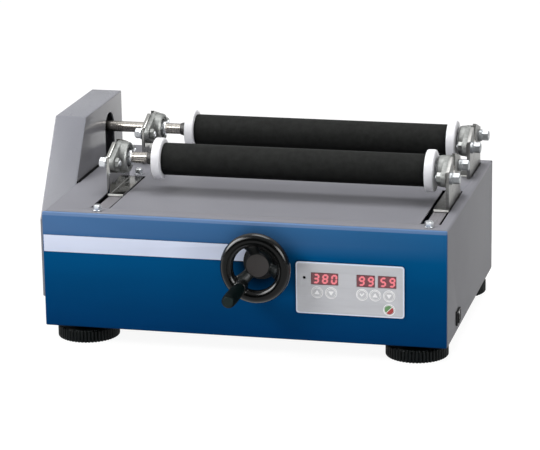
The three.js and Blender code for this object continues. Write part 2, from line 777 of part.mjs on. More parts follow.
// A flat spoke that widens from the hub to the rim
function spoke(angle) {
  const root = wheelPoint(angle, hub_radius / 2, hub_middle);
  const tip = wheelPoint(angle, rim_radius, wheel_plane);
  const along = new THREE.Vector3().subVectors(tip, root);
  const geometry = new THREE.CylinderGeometry(spoke_end_half, spoke_root_half, along.length(), medium)
    .scale(1, 1, spoke_flatness);
  along.normalize();
  const across = new THREE.Vector3(0, 1, 0).cross(along).normalize();
  const over = new THREE.Vector3().crossVectors(across, along);
  const middle = new THREE.Vector3().addVectors(root, tip).multiplyScalar(1 / 2);
  return geometry.applyMatrix4(new THREE.Matrix4().makeBasis(across, along, over))
    .translate(middle.x, middle.y, middle.z);
}
const spokes = spoke_angles.map(spoke);
const hub = rod('y', hub_radius, hub_front, hub_back, screw_x, screw_height, fine);
piece('handwheel', cut(join(rim, hub, ...spokes,
  rod('y', grip_boss_radius, grip_boss_front, wheel_plane + rim_section, grip_place.x, grip_place.z),
  rod('y', grip_pin_radius, grip_pin_front, wheel_plane, grip_place.x, grip_place.z, coarse)),
rod('y', shaft_radius + gap, wheel_seat_front, hub_back + gap, screw_x, screw_height)), black_plastic);
const grip_bore = grip_pin_radius + gap;
const grip_back = grip_boss_front - gap;
const grip_length = grip_back - grip_front;
const grip_shares = [[1, 0.67], [0.94, 0.86], [0.82, 0.95], [0.6, 1], [0.35, 0.96], [0.12, 0.84], [0, 0.75]];
const grip_line = grip_shares.map(([along, across]) => [
  grip_back - along * grip_length, across * grip_radius]);
piece('grip', turnedY([
  [grip_front, 0], ...grip_line,
  [grip_back, grip_bore], [grip_pin_front - gap, grip_bore], [grip_pin_front - gap, 0],
], grip_place.x, grip_place.z), black_plastic);

// Belt housing: a bent sheet shell, open at the base's side below the deck, with the notch of the shaft
const drive_left = -drive_width;
const slope = (drive_top_front - drive_front) / (drive_top - drive_bend);
function driveOutline(inset) {
  const shear = inset * (Math.sqrt(1 + slope * slope) - slope);
  return polygon([
    [base_depth - inset, foot_height + inset], [base_depth - inset, drive_top - inset],
    [drive_top_front + shear, drive_top - inset], [drive_front + inset, drive_bend - shear],
    [drive_front + inset, foot_height + inset],
  ]);
}
const drive_inner_face = -gap - drive_wall;
const drive_inside_top = deck_under - overrun;
piece('drive_cover', cut(plateX(driveOutline(0), drive_left, -gap),
  plateX(driveOutline(drive_wall), drive_left + drive_wall, drive_inner_face),
  box(drive_inner_face - gap, 0, drive_front + drive_wall, base_depth - drive_wall,
    foot_height + drive_wall, drive_inside_top),
  rod('x', notch_radius, drive_inner_face - gap, 0, notch_y, notch_centre, fine),
  box(drive_inner_face - gap, 0, ...span(notch_y, 2 * notch_radius),
    drive_inside_top - overrun, notch_centre),
), light_grey_paint);

// Pulleys, belt and gear motor
function pulley(radius, y, z, bore, shaft_end) {
  const far = pulley_near - pulley_width;
  const rise = radius + pulley_flange_rise;
  const rim_points = [[far, rise], [far + pulley_flange, rise], [far + pulley_flange, radius],
    [pulley_near - pulley_flange, radius], [pulley_near - pulley_flange, rise], [pulley_near, rise]];
  if (shaft_end === null) {
    return turnedX([[far, bore], ...rim_points, [pulley_near, bore], [far, bore]], y, z);
  }
  return turnedX([[far, 0], ...rim_points, [pulley_near, motor_shaft_radius],
    [shaft_end, motor_shaft_radius], [shaft_end, 0]], y, z);
}
piece('roller_pulley', pulley(roller_pulley_radius, rear_axis_y, axis_height, shaft_radius + gap, null),
  cast_grey);
const gearbox_left = sheet + gap;
piece('motor_pulley', pulley(motor_pulley_radius, rear_axis_y, motor_height, 0,
  gearbox_left + motor_seat_depth - gap), cast_grey);

const belt_spread = axis_height - motor_height;
const belt_middle = pulley_near - pulley_width / 2;
function beltShape(offset) {
  return beltOutline(roller_pulley_radius + offset, motor_pulley_radius + offset, belt_spread, coarse)
    .map(([a, b]) => [rear_axis_y + b, axis_height - a]);
}
const belt = polygon(beltShape(gap + belt_thick));
belt.holes.push(new THREE.Path(beltShape(gap).map(([a, b]) => new THREE.Vector2(a, b))));
piece('drive_belt', plateX(belt, belt_middle - belt_width / 2, belt_middle + belt_width / 2), dark_belt);

const gearbox_right = gearbox_left + gearbox_length;
const gearbox = box(gearbox_left, gearbox_right, ...span(rear_axis_y, gearbox_size),
  ...span(motor_height, gearbox_size));
const motor = rod('x', motor_radius, gearbox_right - overrun, gearbox_right + motor_length,
  rear_axis_y, motor_height, fine);
const motor_seat = rod('x', motor_shaft_radius + gap, gearbox_left - overrun, gearbox_left + motor_seat_depth,
  rear_axis_y, motor_height);
piece('gear_motor', cut(join(gearbox, motor), motor_seat), cast_grey);

// Control plate, display board with three windows and a lamp, and six keys
const window_boxes = (margin, front, back) => window_left_shares.map((share, i) => {
  const left = control_left + share * control_width;
  return box(left - margin, left + window_width_shares[i] * control_width + margin, front, back,
    window_bottom - margin, window_bottom + window_height + margin);
});
const lamp_x = control_left + lamp_place_shares[0] * control_width;
const lamp_height = control_bottom + lamp_place_shares[1] * control_height;
const keys = key_shares.map((key) => ({
  name: key.name,
  x: control_left + key.across * control_width,
  height: control_bottom + key.up * control_height,
}));
const control_outline = roundedRectangle(control_left, control_bottom, control_width, control_height,
  control_corner);
const key_holes = keys.map((key) => rod('y', key_radius + gap, control_front - overrun, overrun,
  key.x, key.height));
piece('control_plate', cut(plateY(control_outline, control_front, control_back),
  ...window_boxes(gap, control_front - overrun, overrun), ...key_holes,
  rod('y', lamp_radius + gap, control_front - overrun, overrun, lamp_x, lamp_height, coarse)), silver_plate);
piece('display_module', join(
  box(board_left, board_right, gap, board_back, board_bottom, board_top),
  ...window_boxes(0, control_front - window_rise, board_back / 2),
  rod('y', lamp_radius, control_front - lamp_rise, board_back / 2, lamp_x, lamp_height, coarse)), red_window);
for (const key of keys) {
  const front = control_front - key_rise;
  piece(key.name, rod('y', key_radius, front, front + key_thick, key.x, key.height), white_plastic);
}

// Bare stripe on the front panel
piece('label_stripe', cut(box(stripe_left, stripe_right, -gap - stripe_thick, -gap,
  stripe_bottom, stripe_bottom + stripe_height),
rod('y', bush_flange_radius + gap, -gap - stripe_thick - overrun, 0, screw_x, screw_height)), label_white);

// Rocker switch: the body with its bezel, and the rocker tipped to one side
const switch_outside = base_width + gap + bezel_thick;
const pocket_floor = base_width - rocker_pocket_depth;
piece('switch_body', cut(join(
  box(base_width + gap, switch_outside, ...span(switch_y, bezel_length),
    ...span(switch_height, bezel_height)),
  box(base_width - switch_depth, switch_outside - bezel_thick / 2, ...span(switch_y, switch_body_length),
    ...span(switch_height, switch_body_height)),
), box(pocket_floor, switch_outside + overrun, ...span(switch_y, rocker_pocket_length),
  ...span(switch_height, rocker_pocket_height))), black_plastic);
const rocker_shape = polygon([
  [rocker_root, rocker_half_length / 2], [rocker_root, -rocker_half_length / 2], [0, -rocker_half_length],
  [rocker_end, -rocker_half_length], [rocker_middle, 0], [rocker_end, rocker_half_length],
  [0, rocker_half_length],
]);
const rocker = extruded(rocker_shape, rocker_height)
  .translate(0, 0, -rocker_height / 2).rotateZ(THREE.MathUtils.degToRad(rocker_tilt))
  .translate(base_width, switch_y, switch_height);
piece('switch_rocker', rocker, black_plastic);

// Power inlet on the back: flange, recessed body and three pins
const inlet_back = base_depth + gap;
const inlet_outside = inlet_back + inlet_flange;
const inlet_depth_end = inlet_back - inlet_body_depth;
const inlet_floor = inlet_outside - inlet_recess_depth;
const pin_places = [[-inlet_pin_spread, 0], [0, inlet_pin_height / 2], [inlet_pin_spread, 0]];
const inlet_pins = pin_places.map(([x, z]) => box(...span(inlet_x + x, inlet_pin_width),
  inlet_floor - overrun, inlet_floor + inlet_pin_length, ...span(inlet_height + z, inlet_pin_height)));
const inlet_flange_box = box(...span(inlet_x, inlet_flange_width), inlet_back, inlet_outside,
  ...span(inlet_height, inlet_flange_height));
const inlet_body = box(...span(inlet_x, inlet_body_width), inlet_depth_end, inlet_outside - inlet_flange / 2,
  ...span(inlet_height, inlet_body_height));
const inlet_recess = box(...span(inlet_x, inlet_recess_width), inlet_floor, inlet_outside + overrun,
  ...span(inlet_height, inlet_recess_height));
piece('power_inlet', join(cut(join(inlet_flange_box, inlet_body), inlet_recess), ...inlet_pins),
  black_plastic);

// The origin is on the table, under the middle of the whole
const extent = new THREE.Box3().setFromObject(base);
base.position.set(-(extent.min.x + extent.max.x) / 2, -(extent.min.y + extent.max.y) / 2, -extent.min.z);

export default rotator;
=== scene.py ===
# Looks of the pot mill rotator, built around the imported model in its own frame.
import math

import bpy
import bmesh
from mathutils import Matrix, Vector
from mathutils.geometry import tessellate_polygon


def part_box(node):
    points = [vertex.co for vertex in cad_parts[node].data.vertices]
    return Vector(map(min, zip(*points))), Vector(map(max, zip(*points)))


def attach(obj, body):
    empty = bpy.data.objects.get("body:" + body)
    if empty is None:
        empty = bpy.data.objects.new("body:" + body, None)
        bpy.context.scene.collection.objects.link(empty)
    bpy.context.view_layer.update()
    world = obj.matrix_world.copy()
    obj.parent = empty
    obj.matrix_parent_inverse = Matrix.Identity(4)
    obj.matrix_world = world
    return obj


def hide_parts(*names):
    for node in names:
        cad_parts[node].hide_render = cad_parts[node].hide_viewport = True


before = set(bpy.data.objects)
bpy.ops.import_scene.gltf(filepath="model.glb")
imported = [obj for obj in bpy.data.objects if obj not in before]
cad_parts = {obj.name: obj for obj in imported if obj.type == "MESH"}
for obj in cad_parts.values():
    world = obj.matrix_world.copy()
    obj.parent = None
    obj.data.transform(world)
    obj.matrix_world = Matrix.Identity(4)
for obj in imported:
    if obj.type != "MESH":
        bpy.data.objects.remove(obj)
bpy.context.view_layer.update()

# Places in millimetres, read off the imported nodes
MM = 0.001
SIDES = ("left", "right")
ROWS = ("front", "rear")
panel_corner = Vector(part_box("front_panel")[0])
FOOT = round(panel_corner.z / MM, 1)
home = panel_corner - Vector((0, 0, FOOT * MM))


def at(x, y, z):
    """A place in millimetres from the base's left side, its front face and the table."""
    return home + Vector((x, y, z)) * MM


def span(node, axis):
    """Where a node starts and ends along an axis, in millimetres to a tenth."""
    i = "xyz".index(axis)
    return [float(round((corner[i] - home[i]) / MM, 1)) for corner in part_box(node)]


def middle(node, axis):
    return round(sum(span(node, axis)) / 2, 1)


def inset(ends, by):
    return ends[0] + by, ends[1] - by


# Main sizes; the control plate, the stripe and the bush sit on the front, at PLATE_BACK
WIDTH = span("front_panel", "x")[1]
DECK = span("front_panel", "z")[1]
SKIN = 0.05
PLATE_BACK = -0.35


# Shader nodes
def wire(node, inputs):
    """Fills a node's inputs, by name or number, each with the socket that feeds it or with a plain value."""
    for name, item in inputs.items():
        if isinstance(item, bpy.types.NodeSocket):
            node.id_data.links.new(item, node.inputs[name])
        else:
            node.inputs[name].default_value = item
    return node


def add(tree, kind, inputs, **settings):
    node = tree.nodes.new(kind)
    for name, value in settings.items():
        setattr(node, name, value)
    return wire(node, inputs)


def map_range(tree, value, source, target=(0.0, 1.0)):
    """Carries a value from one span to another, and holds it at the ends."""
    ends = zip(("From Min", "From Max", "To Min", "To Max"), (*source, *target))
    return add(tree, "ShaderNodeMapRange", {"Value": value, **dict(ends)}).outputs["Result"]


def ramp(tree, value, stops):
    """A colour for a value, by (position, colour); a plain number stands for a grey."""
    node = add(tree, "ShaderNodeValToRGB", {"Fac": value})
    elements = node.color_ramp.elements
    while len(elements) < len(stops):
        elements.new(0.5)
    for element, (position, color) in zip(elements, stops):
        element.position = position
        element.color = (*color, 1) if isinstance(color, tuple) else (color, color, color, 1)
    return node.outputs["Color"]


def mixed(tree, a, b, blend="MIX", factor=1.0):
    """Blends two colours; a, b and the factor are sockets or plain values."""
    inputs = {"Factor": factor, "A": a, "B": b}
    return add(tree, "ShaderNodeMix", inputs, data_type="RGBA", blend_type=blend).outputs["Result"]


def combined(tree, operation, one, two):
    return add(tree, "ShaderNodeMath", {0: one, 1: two}, operation=operation).outputs["Value"]


def place_in(tree, kind="Object"):
    return add(tree, "ShaderNodeTexCoord", {}).outputs[kind]


def axes_of(tree, place):
    return add(tree, "ShaderNodeSeparateXYZ", {"Vector": place}).outputs


# Materials; a noise's values lie mostly between these two
NOISE = (0.3, 0.7)


def srgb(*values):
    """Colour from 0 to 255 as linear light."""
    def one(v):
        v /= 255
        return v / 12.92 if v <= 0.04045 else ((v + 0.055) / 1.055) ** 2.4
    return tuple(one(v) for v in values)


def new_material(name):
    material = bpy.data.materials.new(name)
    material.use_nodes = True
    tree = material.node_tree
    return material, tree, tree.nodes["Principled BSDF"]


def textured(name, color, rough=0.5, metal=0.0, spread=0.06, scale=60, fine=900, bump=0.1, rough_spread=0.08,
             depth=0.0002, coat=0.0, coat_rough=0.1, specular=0.5):
    """Principled surface with colour variation at one scale, and grain in its roughness and bump at another.
    A scale is one number, or one for each axis."""
    material, tree, shader = new_material(name)
    place = place_in(tree)

    def noise(size, octaves):
        scales = size if isinstance(size, tuple) else (size, size, size)
        mapping = add(tree, "ShaderNodeMapping", {"Vector": place, "Scale": scales})
        inputs = {"Vector": mapping.outputs["Vector"], "Scale": 1.0, "Detail": octaves}
        return add(tree, "ShaderNodeTexNoise", inputs).outputs["Fac"]

    broad, grain = noise(scale, 4.0), noise(fine, 2.0)
    dark = tuple(c * (1 - spread) for c in color)
    light = tuple(min(1.0, c * (1 + spread)) for c in color)
    rough_ends = (max(0.02, rough - rough_spread), min(1.0, rough + rough_spread))
    relief = add(tree, "ShaderNodeBump", {"Strength": bump, "Distance": depth, "Height": grain})
    wire(shader, {"Base Color": ramp(tree, broad, list(zip(NOISE, (dark, light)))),
                  "Roughness": map_range(tree, grain, NOISE, rough_ends), "Normal": relief.outputs["Normal"],
                  "Metallic": metal, "Specular IOR Level": specular, "Coat Weight": coat,
                  "Coat Roughness": coat_rough})
    return material


def base_color(material):
    """A material's tree, its shader, and what feeds the base colour so far."""
    tree = material.node_tree
    shader = tree.nodes["Principled BSDF"]
    return tree, shader, shader.inputs["Base Color"].links[0].from_socket


def painted_shade_by_height(material, stops, ends):
    """Multiplies the base colour by a ramp over the height: painted shade, darker downwards."""
    tree, shader, source = base_color(material)
    tint = ramp(tree, map_range(tree, axes_of(tree, place_in(tree))["Z"], ends), stops)
    wire(shader, {"Base Color": mixed(tree, source, tint, "MULTIPLY")})


def painted_sheen(material, color, over_height, over_width):
    """Mixes a lighter colour in: a painted highlight where the paint would catch the light; both ramps are
    (ends, stops).
    """
    tree, shader, source = base_color(material)
    axes = axes_of(tree, place_in(tree))
    shares = [ramp(tree, map_range(tree, axes[axis], ends), stops)
              for axis, (ends, stops) in (("Z", over_height), ("X", over_width))]
    share = combined(tree, "MULTIPLY", *shares)
    wire(shader, {"Base Color": mixed(tree, source, (*color, 1), factor=share)})


def painted_occlusion_shade(material, reach, open_ends, least):
    """Darkens the base colour where other surfaces lie close: painted shade."""
    tree, shader, source = base_color(material)
    close = add(tree, "ShaderNodeAmbientOcclusion", {"Distance": reach}, samples=12)
    light = map_range(tree, close.outputs["AO"], open_ends, (least, 1.0))
    wire(shader, {"Base Color": mixed(tree, source, light, "MULTIPLY")})


def glancing_coat(material, facing, weights):
    """A clear coat that shows more where the surface turns away."""
    tree, shader, _ = base_color(material)
    glance = add(tree, "ShaderNodeLayerWeight", {"Blend": 0.5})
    wire(shader, {"Coat Weight": map_range(tree, glance.outputs["Facing"], facing, weights)})


def glowing(name, dark, light, body, strength):
    """A surface that gives light, a little uneven."""
    material, tree, shader = new_material(name)
    cloud = add(tree, "ShaderNodeTexNoise", {"Vector": place_in(tree), "Scale": 900})
    wire(shader, {"Emission Color": ramp(tree, cloud.outputs["Fac"], [(0.0, dark), (1.0, light)]),
                  "Base Color": (*body, 1), "Emission Strength": strength})
    return material


def paint(name, color, rough, bump=0.12, rough_spread=0.06, depth=0.00012, specular=0.1):
    """The sheet metal's paint: nearly even, with a fine grain."""
    return textured(name, color, rough=rough, spread=0.03, scale=14, fine=1400, bump=bump,
                    rough_spread=rough_spread, depth=depth, specular=specular)


def plated(name, color, rough, spread, bump):
    """Small plated parts."""
    return textured(name, color, rough=rough, metal=1.0, spread=spread, scale=350, fine=1800, bump=bump)


# Paints
grey_paint = paint("grey_paint", srgb(132, 132, 138), 0.42)
# Painted shade on the grey paint under the rollers and close to the parts that stand on the deck.
painted_occlusion_shade(grey_paint, 0.022, (0.3, 0.9), 0.6)
# A copy of the grey paint for the right side, a shade lighter and almost without gloss, set to how the light
# falls there: painted light.
lit_side_paint = paint("lit_side_paint", srgb(136, 136, 139), 0.5, specular=0.02)
tower_paint = paint("tower_paint", srgb(135, 136, 143), 0.3, bump=0.06, rough_spread=0.05, depth=0.00008,
                    specular=0.25)
# A darker, glossier copy of the tower's paint for its inner wall, which looks right: painted shade.
shaded_wall_paint = paint("shaded_wall_paint", srgb(120, 120, 124), 0.16, bump=0.03, rough_spread=0.03, depth=0.00005,
                   specular=0.3)
blue_paint = textured("blue_paint", (0.84, 0.84, 0.84), rough=0.4, spread=0.04, scale=(10, 10, 30), fine=1500,
                      rough_spread=0.05, depth=0.0001, specular=0.02)
panel_z = (FOOT * MM, DECK * MM)
panel_x = (home.x, home.x + WIDTH * MM)
panel_edge = ((DECK - 4) * MM, DECK * MM)
# Painted shade: the blue gets darker downwards, as the light falls on the panel.
painted_shade_by_height(blue_paint, [(0.0, srgb(0, 61, 113)), (0.45, srgb(0, 76, 128)), (0.75, srgb(0, 88, 143)),
                         (1.0, srgb(16, 99, 153))], panel_z)
# Painted highlights: a lighter patch towards the upper left, and a lighter band on the rounded top edge.
painted_sheen(blue_paint, srgb(113, 137, 178), (panel_z, [(0.72, 0.0), (0.84, 0.42)]),
      (panel_x, [(0.0, 1.0), (1.0, 0.15)]))
painted_sheen(blue_paint, srgb(108, 136, 176), (panel_edge, [(0.1, 0.0), (0.25, 0.95)]),
      (panel_x, [(0.0, 0.97), (0.55, 1.0), (1.0, 0.8)]))
# Painted shadow on the blue behind the handwheel, and painted shade near the floor.
painted_occlusion_shade(blue_paint, 0.034, (0.38, 0.82), 0.08)

# Rubber
rubber = textured("roller_rubber", srgb(29, 30, 29), rough=0.72, spread=0.25, scale=160, fine=1900, bump=0.35,
                  rough_spread=0.1, depth=0.0003, specular=0.08)
# Painted shade on the rollers' rubber, darkest underneath, towards the deck.
painted_occlusion_shade(rubber, 0.05, (0.35, 0.95), 0.35)
foot_rubber = textured("foot_rubber", srgb(7, 11, 12), spread=0.2, scale=200, fine=1500, bump=0.2,
                       specular=0.12)
seal = textured("bearing_seal", srgb(38, 37, 36), rough=0.55, spread=0.2)
belt_black = textured("belt_rubber", srgb(28, 28, 29), rough=0.75, spread=0.15, bump=0.3)

# Metals
steel_lathe = textured("turned_steel", srgb(172, 168, 162), rough=0.26, metal=1.0, spread=0.1,
                       scale=(900, 30, 30), fine=(4200, 60, 60), bump=0.12, rough_spread=0.1, depth=0.00008)
stainless = textured("brushed_stainless", srgb(133, 133, 131), rough=0.4, metal=1.0, spread=0.12,
                     scale=(60, 40, 500), fine=(400, 120, 3600), rough_spread=0.12, depth=0.00008)
polished = textured("polished_stainless", srgb(160, 160, 157), rough=0.15, metal=1.0,
                    scale=(60, 40, 300), fine=(900, 300, 2600), bump=0.03, rough_spread=0.04, depth=0.00004)
# A light grey for the brackets' cut front edges: bare metal, lightened further as a painted highlight.
cut_edge_highlight = textured("cut_metal_edge_highlight", srgb(226, 226, 222), metal=0.3, spread=0.08, scale=(300, 60, 300),
                   fine=(1800, 400, 1800))
rail_steel = textured("worn_rail", srgb(126, 124, 128), metal=0.35, spread=0.22, scale=(700, 14, 300),
                      fine=(3600, 90, 400), bump=0.15, rough_spread=0.15)
zinc = plated("zinc_plate", srgb(220, 223, 226), rough=0.28, spread=0.08, bump=0.08)
dull_zinc = plated("dull_zinc", srgb(130, 132, 130), rough=0.38, spread=0.12, bump=0.15)
# A darker, more mottled copy of the zinc for the right side's bolts: painted shade.
shaded_zinc = plated("shaded_zinc", srgb(149, 152, 154), rough=0.4, spread=0.12, bump=0.1)
casting = textured("die_casting", srgb(134, 136, 134), rough=0.46, metal=0.6, spread=0.22, scale=260,
                   fine=1100, bump=0.5, depth=0.0005)
# Painted shade in the castings' recesses and round their bolts.
painted_occlusion_shade(casting, 0.008, (0.25, 1.0), 0.3)
motor_grey = textured("motor_grey", srgb(110, 113, 116), metal=0.4, spread=0.1, bump=0.3)

# Plastics
white_ring = textured("white_ring", srgb(244, 244, 247), spread=0.03, scale=120, fine=1200, bump=0.3,
                      depth=0.0003)
gloss_black = textured("gloss_black", srgb(4, 5, 5), rough=0.2, spread=0.15, scale=80, fine=700, bump=0.04,
                       rough_spread=0.04, coat=0.12, coat_rough=0.06, specular=0.15)
glancing_coat(gloss_black, (0.12, 0.4), (0.05, 0.5))
grip_black = textured("grip_black", srgb(3, 9, 9), spread=0.15, bump=0.15, specular=0.03)
grip_end = textured("grip_end", srgb(26, 37, 36), spread=0.08, bump=0.15, specular=0.1)
spoke_black = textured("spoke_black", srgb(5, 9, 9), rough=0.42, spread=0.15, scale=80, specular=0.18)
hub_black = textured("hub_black", srgb(50, 46, 45), spread=0.08, scale=80, bump=0.15)
matt_black = textured("matt_black", srgb(14, 15, 15), rough=0.45, spread=0.15, bump=0.15, specular=0.3)
# Near black: the colour of the board behind the windows and of the lamp's lens, and painted shade on strips
# put into gaps and slots.
black_and_shade = textured("black_and_painted_shade", srgb(14, 14, 15), rough=0.85, spread=0.1, specular=0.05)

# Control plate, keys, digits and stripe
plate_silver = textured("plate_silver", srgb(199, 200, 204), rough=0.42, spread=0.025, scale=(40, 40, 700),
                        fine=(300, 300, 2600), bump=0.05)
plate_edge = textured("plate_edge", srgb(228, 234, 248), rough=0.4, spread=0.03, bump=0.05)
key_white = textured("key_white", srgb(254, 254, 255), rough=0.45, spread=0.03, bump=0.08)
key_face = textured("key_face", srgb(200, 200, 203), rough=0.45, spread=0.03, bump=0.06)
key_green = textured("key_green", srgb(100, 147, 94), rough=0.45, bump=0.06)
key_red = textured("key_red", srgb(170, 64, 62), rough=0.45, bump=0.06)
window_red = textured("window_red", srgb(112, 46, 56), rough=0.18, spread=0.08, bump=0.02, coat=0.4)
digit_red = glowing("digit_red", srgb(230, 118, 130), srgb(242, 150, 158), srgb(120, 20, 26), 0.8)
stripe_white = textured("stripe_white", srgb(220, 228, 248), spread=0.03, scale=20, bump=0.04, specular=0.1)


# Mesh tools; every shape is (points in millimetres, faces)
def polar(a, b, radius, angle):
    return a + radius * math.cos(angle), b + radius * math.sin(angle)


def lathe(profile, axis, a, b, steps=72):
    """Turns (along, radius) points about an axis; a profile that starts and ends alike is a closed loop."""
    closed = profile[0] == profile[-1]
    points, rings = [], []
    for along, radius in profile[:-1] if closed else profile:
        ring = []
        for i in range(1 if radius < 1e-6 else steps):
            u, v = polar(a, b, radius, 2 * math.pi * i / steps)
            ring.append(len(points))
            points.append({"x": (along, u, v), "y": (u, along, v), "z": (u, v, along)}[axis])
        rings.append(ring)
    faces = []
    for one, two in list(zip(rings, rings[1:])) + ([(rings[-1], rings[0])] if closed else []):
        for i in range(steps):
            j = (i + 1) % steps
            corners = (one[i % len(one)], two[i % len(two)], two[j % len(two)], one[j % len(one)])
            face = tuple(dict.fromkeys(corners))
            if len(face) > 2:
                faces.append(face)
    return points, faces


def rounded(points, radius, steps=4, closed=True):
    """The polyline with each corner rounded; radius is one value or one for each corner."""
    result = []
    count = len(points)
    for i, point in enumerate(points):
        size = radius[i] if isinstance(radius, (list, tuple)) else radius
        here = Vector(point)
        before = Vector(points[i - 1]) - here
        after = Vector(points[(i + 1) % count]) - here
        is_end = not closed and i in (0, count - 1)
        if (size <= 0 or is_end or min(before.length, after.length) < 1e-6
                or before.angle(after) > math.pi - 0.02):
            result.append(point)
            continue
        back = min(size / math.tan(before.angle(after) / 2), 0.49 * before.length, 0.49 * after.length)
        start, end = here + before.normalized() * back, here + after.normalized() * back
        for k in range(steps + 1):
            t = k / steps
            curve = start * (1 - t) ** 2 + here * 2 * t * (1 - t) + end * t ** 2
            result.append((curve.x, curve.y))
    return result


def turned(profile, axis, a, b, radius=0.4, steps=72):
    """A lathe shape whose corners are rounded."""
    closed = profile[0] == profile[-1]
    line = rounded(profile[:-1] if closed else profile, radius, closed=closed)
    return lathe(line + [line[0]] if closed else line, axis, a, b, steps)


def rod(start, end, radius, axis, a, b, corner, steps=72):
    return turned([(start, 0), (start, radius), (end, radius), (end, 0)], axis, a, b, corner, steps)


def tube(start, end, inner, outer, axis, a, b, corner, steps=72):
    line = [(start, inner), (start, outer), (end, outer), (end, inner), (start, inner)]
    return turned(line, axis, a, b, corner, steps)


def skinned(points, steps):
    """Rings of as many points each, with skin between them and a cap at both ends."""
    faces = []
    for first in range(0, len(points) - steps, steps):
        for i in range(steps):
            j = (i + 1) % steps
            faces.append((first + i, first + j, first + steps + j, first + steps + i))
    caps = [tuple(reversed(range(steps))), tuple(range(len(points) - steps, len(points)))]
    return points, faces + caps


def arc(a, b, radius, start, end, steps=6):
    """Points on a circle, between two angles in degrees."""
    return [polar(a, b, radius, math.radians(start + (end - start) * i / steps)) for i in range(steps + 1)]


def circle(a, b, radius, steps=40):
    return [polar(a, b, radius, 2 * math.pi * i / steps) for i in range(steps)]


def rectangle(a0, a1, b0, b1, corner=0.0, steps=5):
    points = [(a0, b0), (a1, b0), (a1, b1), (a0, b1)]
    return rounded(points, corner, steps) if corner else points


def prism(outline, start, end, axis, holes=()):
    """Draws an outline with holes out along an axis; its points are on the other two, in X, Y, Z order."""
    loops = [list(outline)] + [list(hole) for hole in holes]
    flat = [point for loop in loops for point in loop]
    triangles = tessellate_polygon([[Vector((a, b, 0)) for a, b in loop] for loop in loops])
    points = []
    for level in (start, end):
        for a, b in flat:
            points.append({"x": (level, a, b), "y": (a, level, b), "z": (a, b, level)}[axis])
    total = len(flat)
    faces = [tuple(t) for t in triangles] + [tuple(i + total for i in reversed(t)) for t in triangles]
    first = 0
    for loop in loops:
        size = len(loop)
        for i in range(size):
            j = (i + 1) % size
            faces.append((first + i, first + j, first + j + total, first + i + total))
        first += size
    return points, faces


def slab(x0, x1, y0, y1, z0, z1):
    return prism(rectangle(x0, x1, y0, y1), z0, z1, "z")


def joined(*shapes):
    points, faces = [], []
    for shape_points, shape_faces in shapes:
        first = len(points)
        points += shape_points
        faces += [tuple(i + first for i in face) for face in shape_faces]
    return points, faces


def moved(shape, turn, x, y, z):
    """Turns a +Z shape to point along an axis, and moves it."""
    points = []
    for a, b, c in shape[0]:
        a, b, c = {"z": (a, b, c), "x": (c, b, -a), "-x": (-c, b, a)}[turn]
        points.append((a + x, b + y, c + z))
    return points, shape[1]


# Pieces
def placed(name, data):
    """A new object in the scene."""
    obj = bpy.data.objects.new(name, data)
    bpy.context.scene.collection.objects.link(obj)
    return obj


def mesh_of(name, shape):
    points, faces = shape
    mesh = bpy.data.meshes.new(name)
    mesh.from_pydata([at(*p) for p in points], [], faces)
    work = bmesh.new()
    work.from_mesh(mesh)
    bmesh.ops.remove_doubles(work, verts=work.verts, dist=1e-7)
    bmesh.ops.recalc_face_normals(work, faces=work.faces)
    work.to_mesh(mesh)
    work.free()
    mesh.update()
    return mesh


def finish_mesh(obj, angle):
    """Shades it smooth, but for edges sharper than the angle."""
    obj.data.polygons.foreach_set("use_smooth", [True] * len(obj.data.polygons))
    obj.data.set_sharp_from_angle(angle=math.radians(angle))


def applied(obj):
    """Works the object's modifiers into its mesh."""
    bpy.context.view_layer.update()
    graph = bpy.context.evaluated_depsgraph_get()
    old = obj.data
    obj.data = bpy.data.meshes.new_from_object(obj.evaluated_get(graph))
    obj.modifiers.clear()
    bpy.data.meshes.remove(old)


def soften(obj, size, segments, angle=28):
    edge = obj.modifiers.new("edge", "BEVEL")
    edge.width = size * MM
    edge.segments = segments
    edge.limit_method = "ANGLE"
    edge.angle_limit = math.radians(angle)


def piece(name, shape, material, body, replaced=None, bevel=0.0, segments=2, cuts=(), angle=32,
          bevel_first=0.0):
    """A shown piece on a body; cuts are shapes taken away, before bevel and after bevel_first."""
    obj = placed(name, mesh_of(name, shape))
    cutters = []
    if bevel_first:
        soften(obj, bevel_first, segments)
    for cut in cuts:
        cutters.append(placed(name + "_cut", mesh_of(name + "_cut", cut)))
        modifier = obj.modifiers.new("cut", "BOOLEAN")
        modifier.object = cutters[-1]
        modifier.operation = "DIFFERENCE"
        modifier.solver = "EXACT"
    if bevel:
        soften(obj, bevel, segments)
    if obj.modifiers:
        applied(obj)
    for cutter in cutters:
        data = cutter.data
        bpy.data.objects.remove(cutter)
        bpy.data.meshes.remove(data)
    obj.data.materials.clear()
    obj.data.materials.append(material)
    finish_mesh(obj, angle)
    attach(obj, body)
    if replaced:
        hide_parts(replaced)
    return obj


def dress(node, material, bevel=0.0):
    """Gives a node of the model its material, and softens its edges."""
    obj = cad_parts[node]
    obj.data.materials.clear()
    obj.data.materials.append(material)
    weld = obj.modifiers.new("weld", "WELD")
    weld.merge_threshold = 1e-6
    if bevel:
        soften(obj, bevel, 2, 40)


def recoat(obj, material, wanted):
    """Gives another material to the faces that a test picks."""
    obj.data.materials.append(material)
    for face in obj.data.polygons:
        if wanted(face):
            face.material_index = 1


def right_wall(x):
    """Picks the faces past x that look to the right."""
    return lambda face: face.normal.x > 0.95 and face.center.x > at(x, 0, 0).x


# Base box: a folded cover with slots and windows in its deck, and the blue front
SHEET = 1.6
BEND = 3.0
SLOT_Y, WINDOW_Y = (26.0, 162.0), (224.7, 289.3)
SLOTS = {"left": 45.5, "right": 399.5}
SLOT_WIDTH = 21.8
SLOT_CORNER = 0.8
SWITCH_LIP = 0.7
SCREW_X, SCREW_Z = middle("lead_screw", "x"), middle("lead_screw", "z")
SCREW_HOLE = 11.3
POCKET_X, POCKET_Z, POCKET_FLOOR = (279.0, 384.5), (79.3, 95.3), 2.9

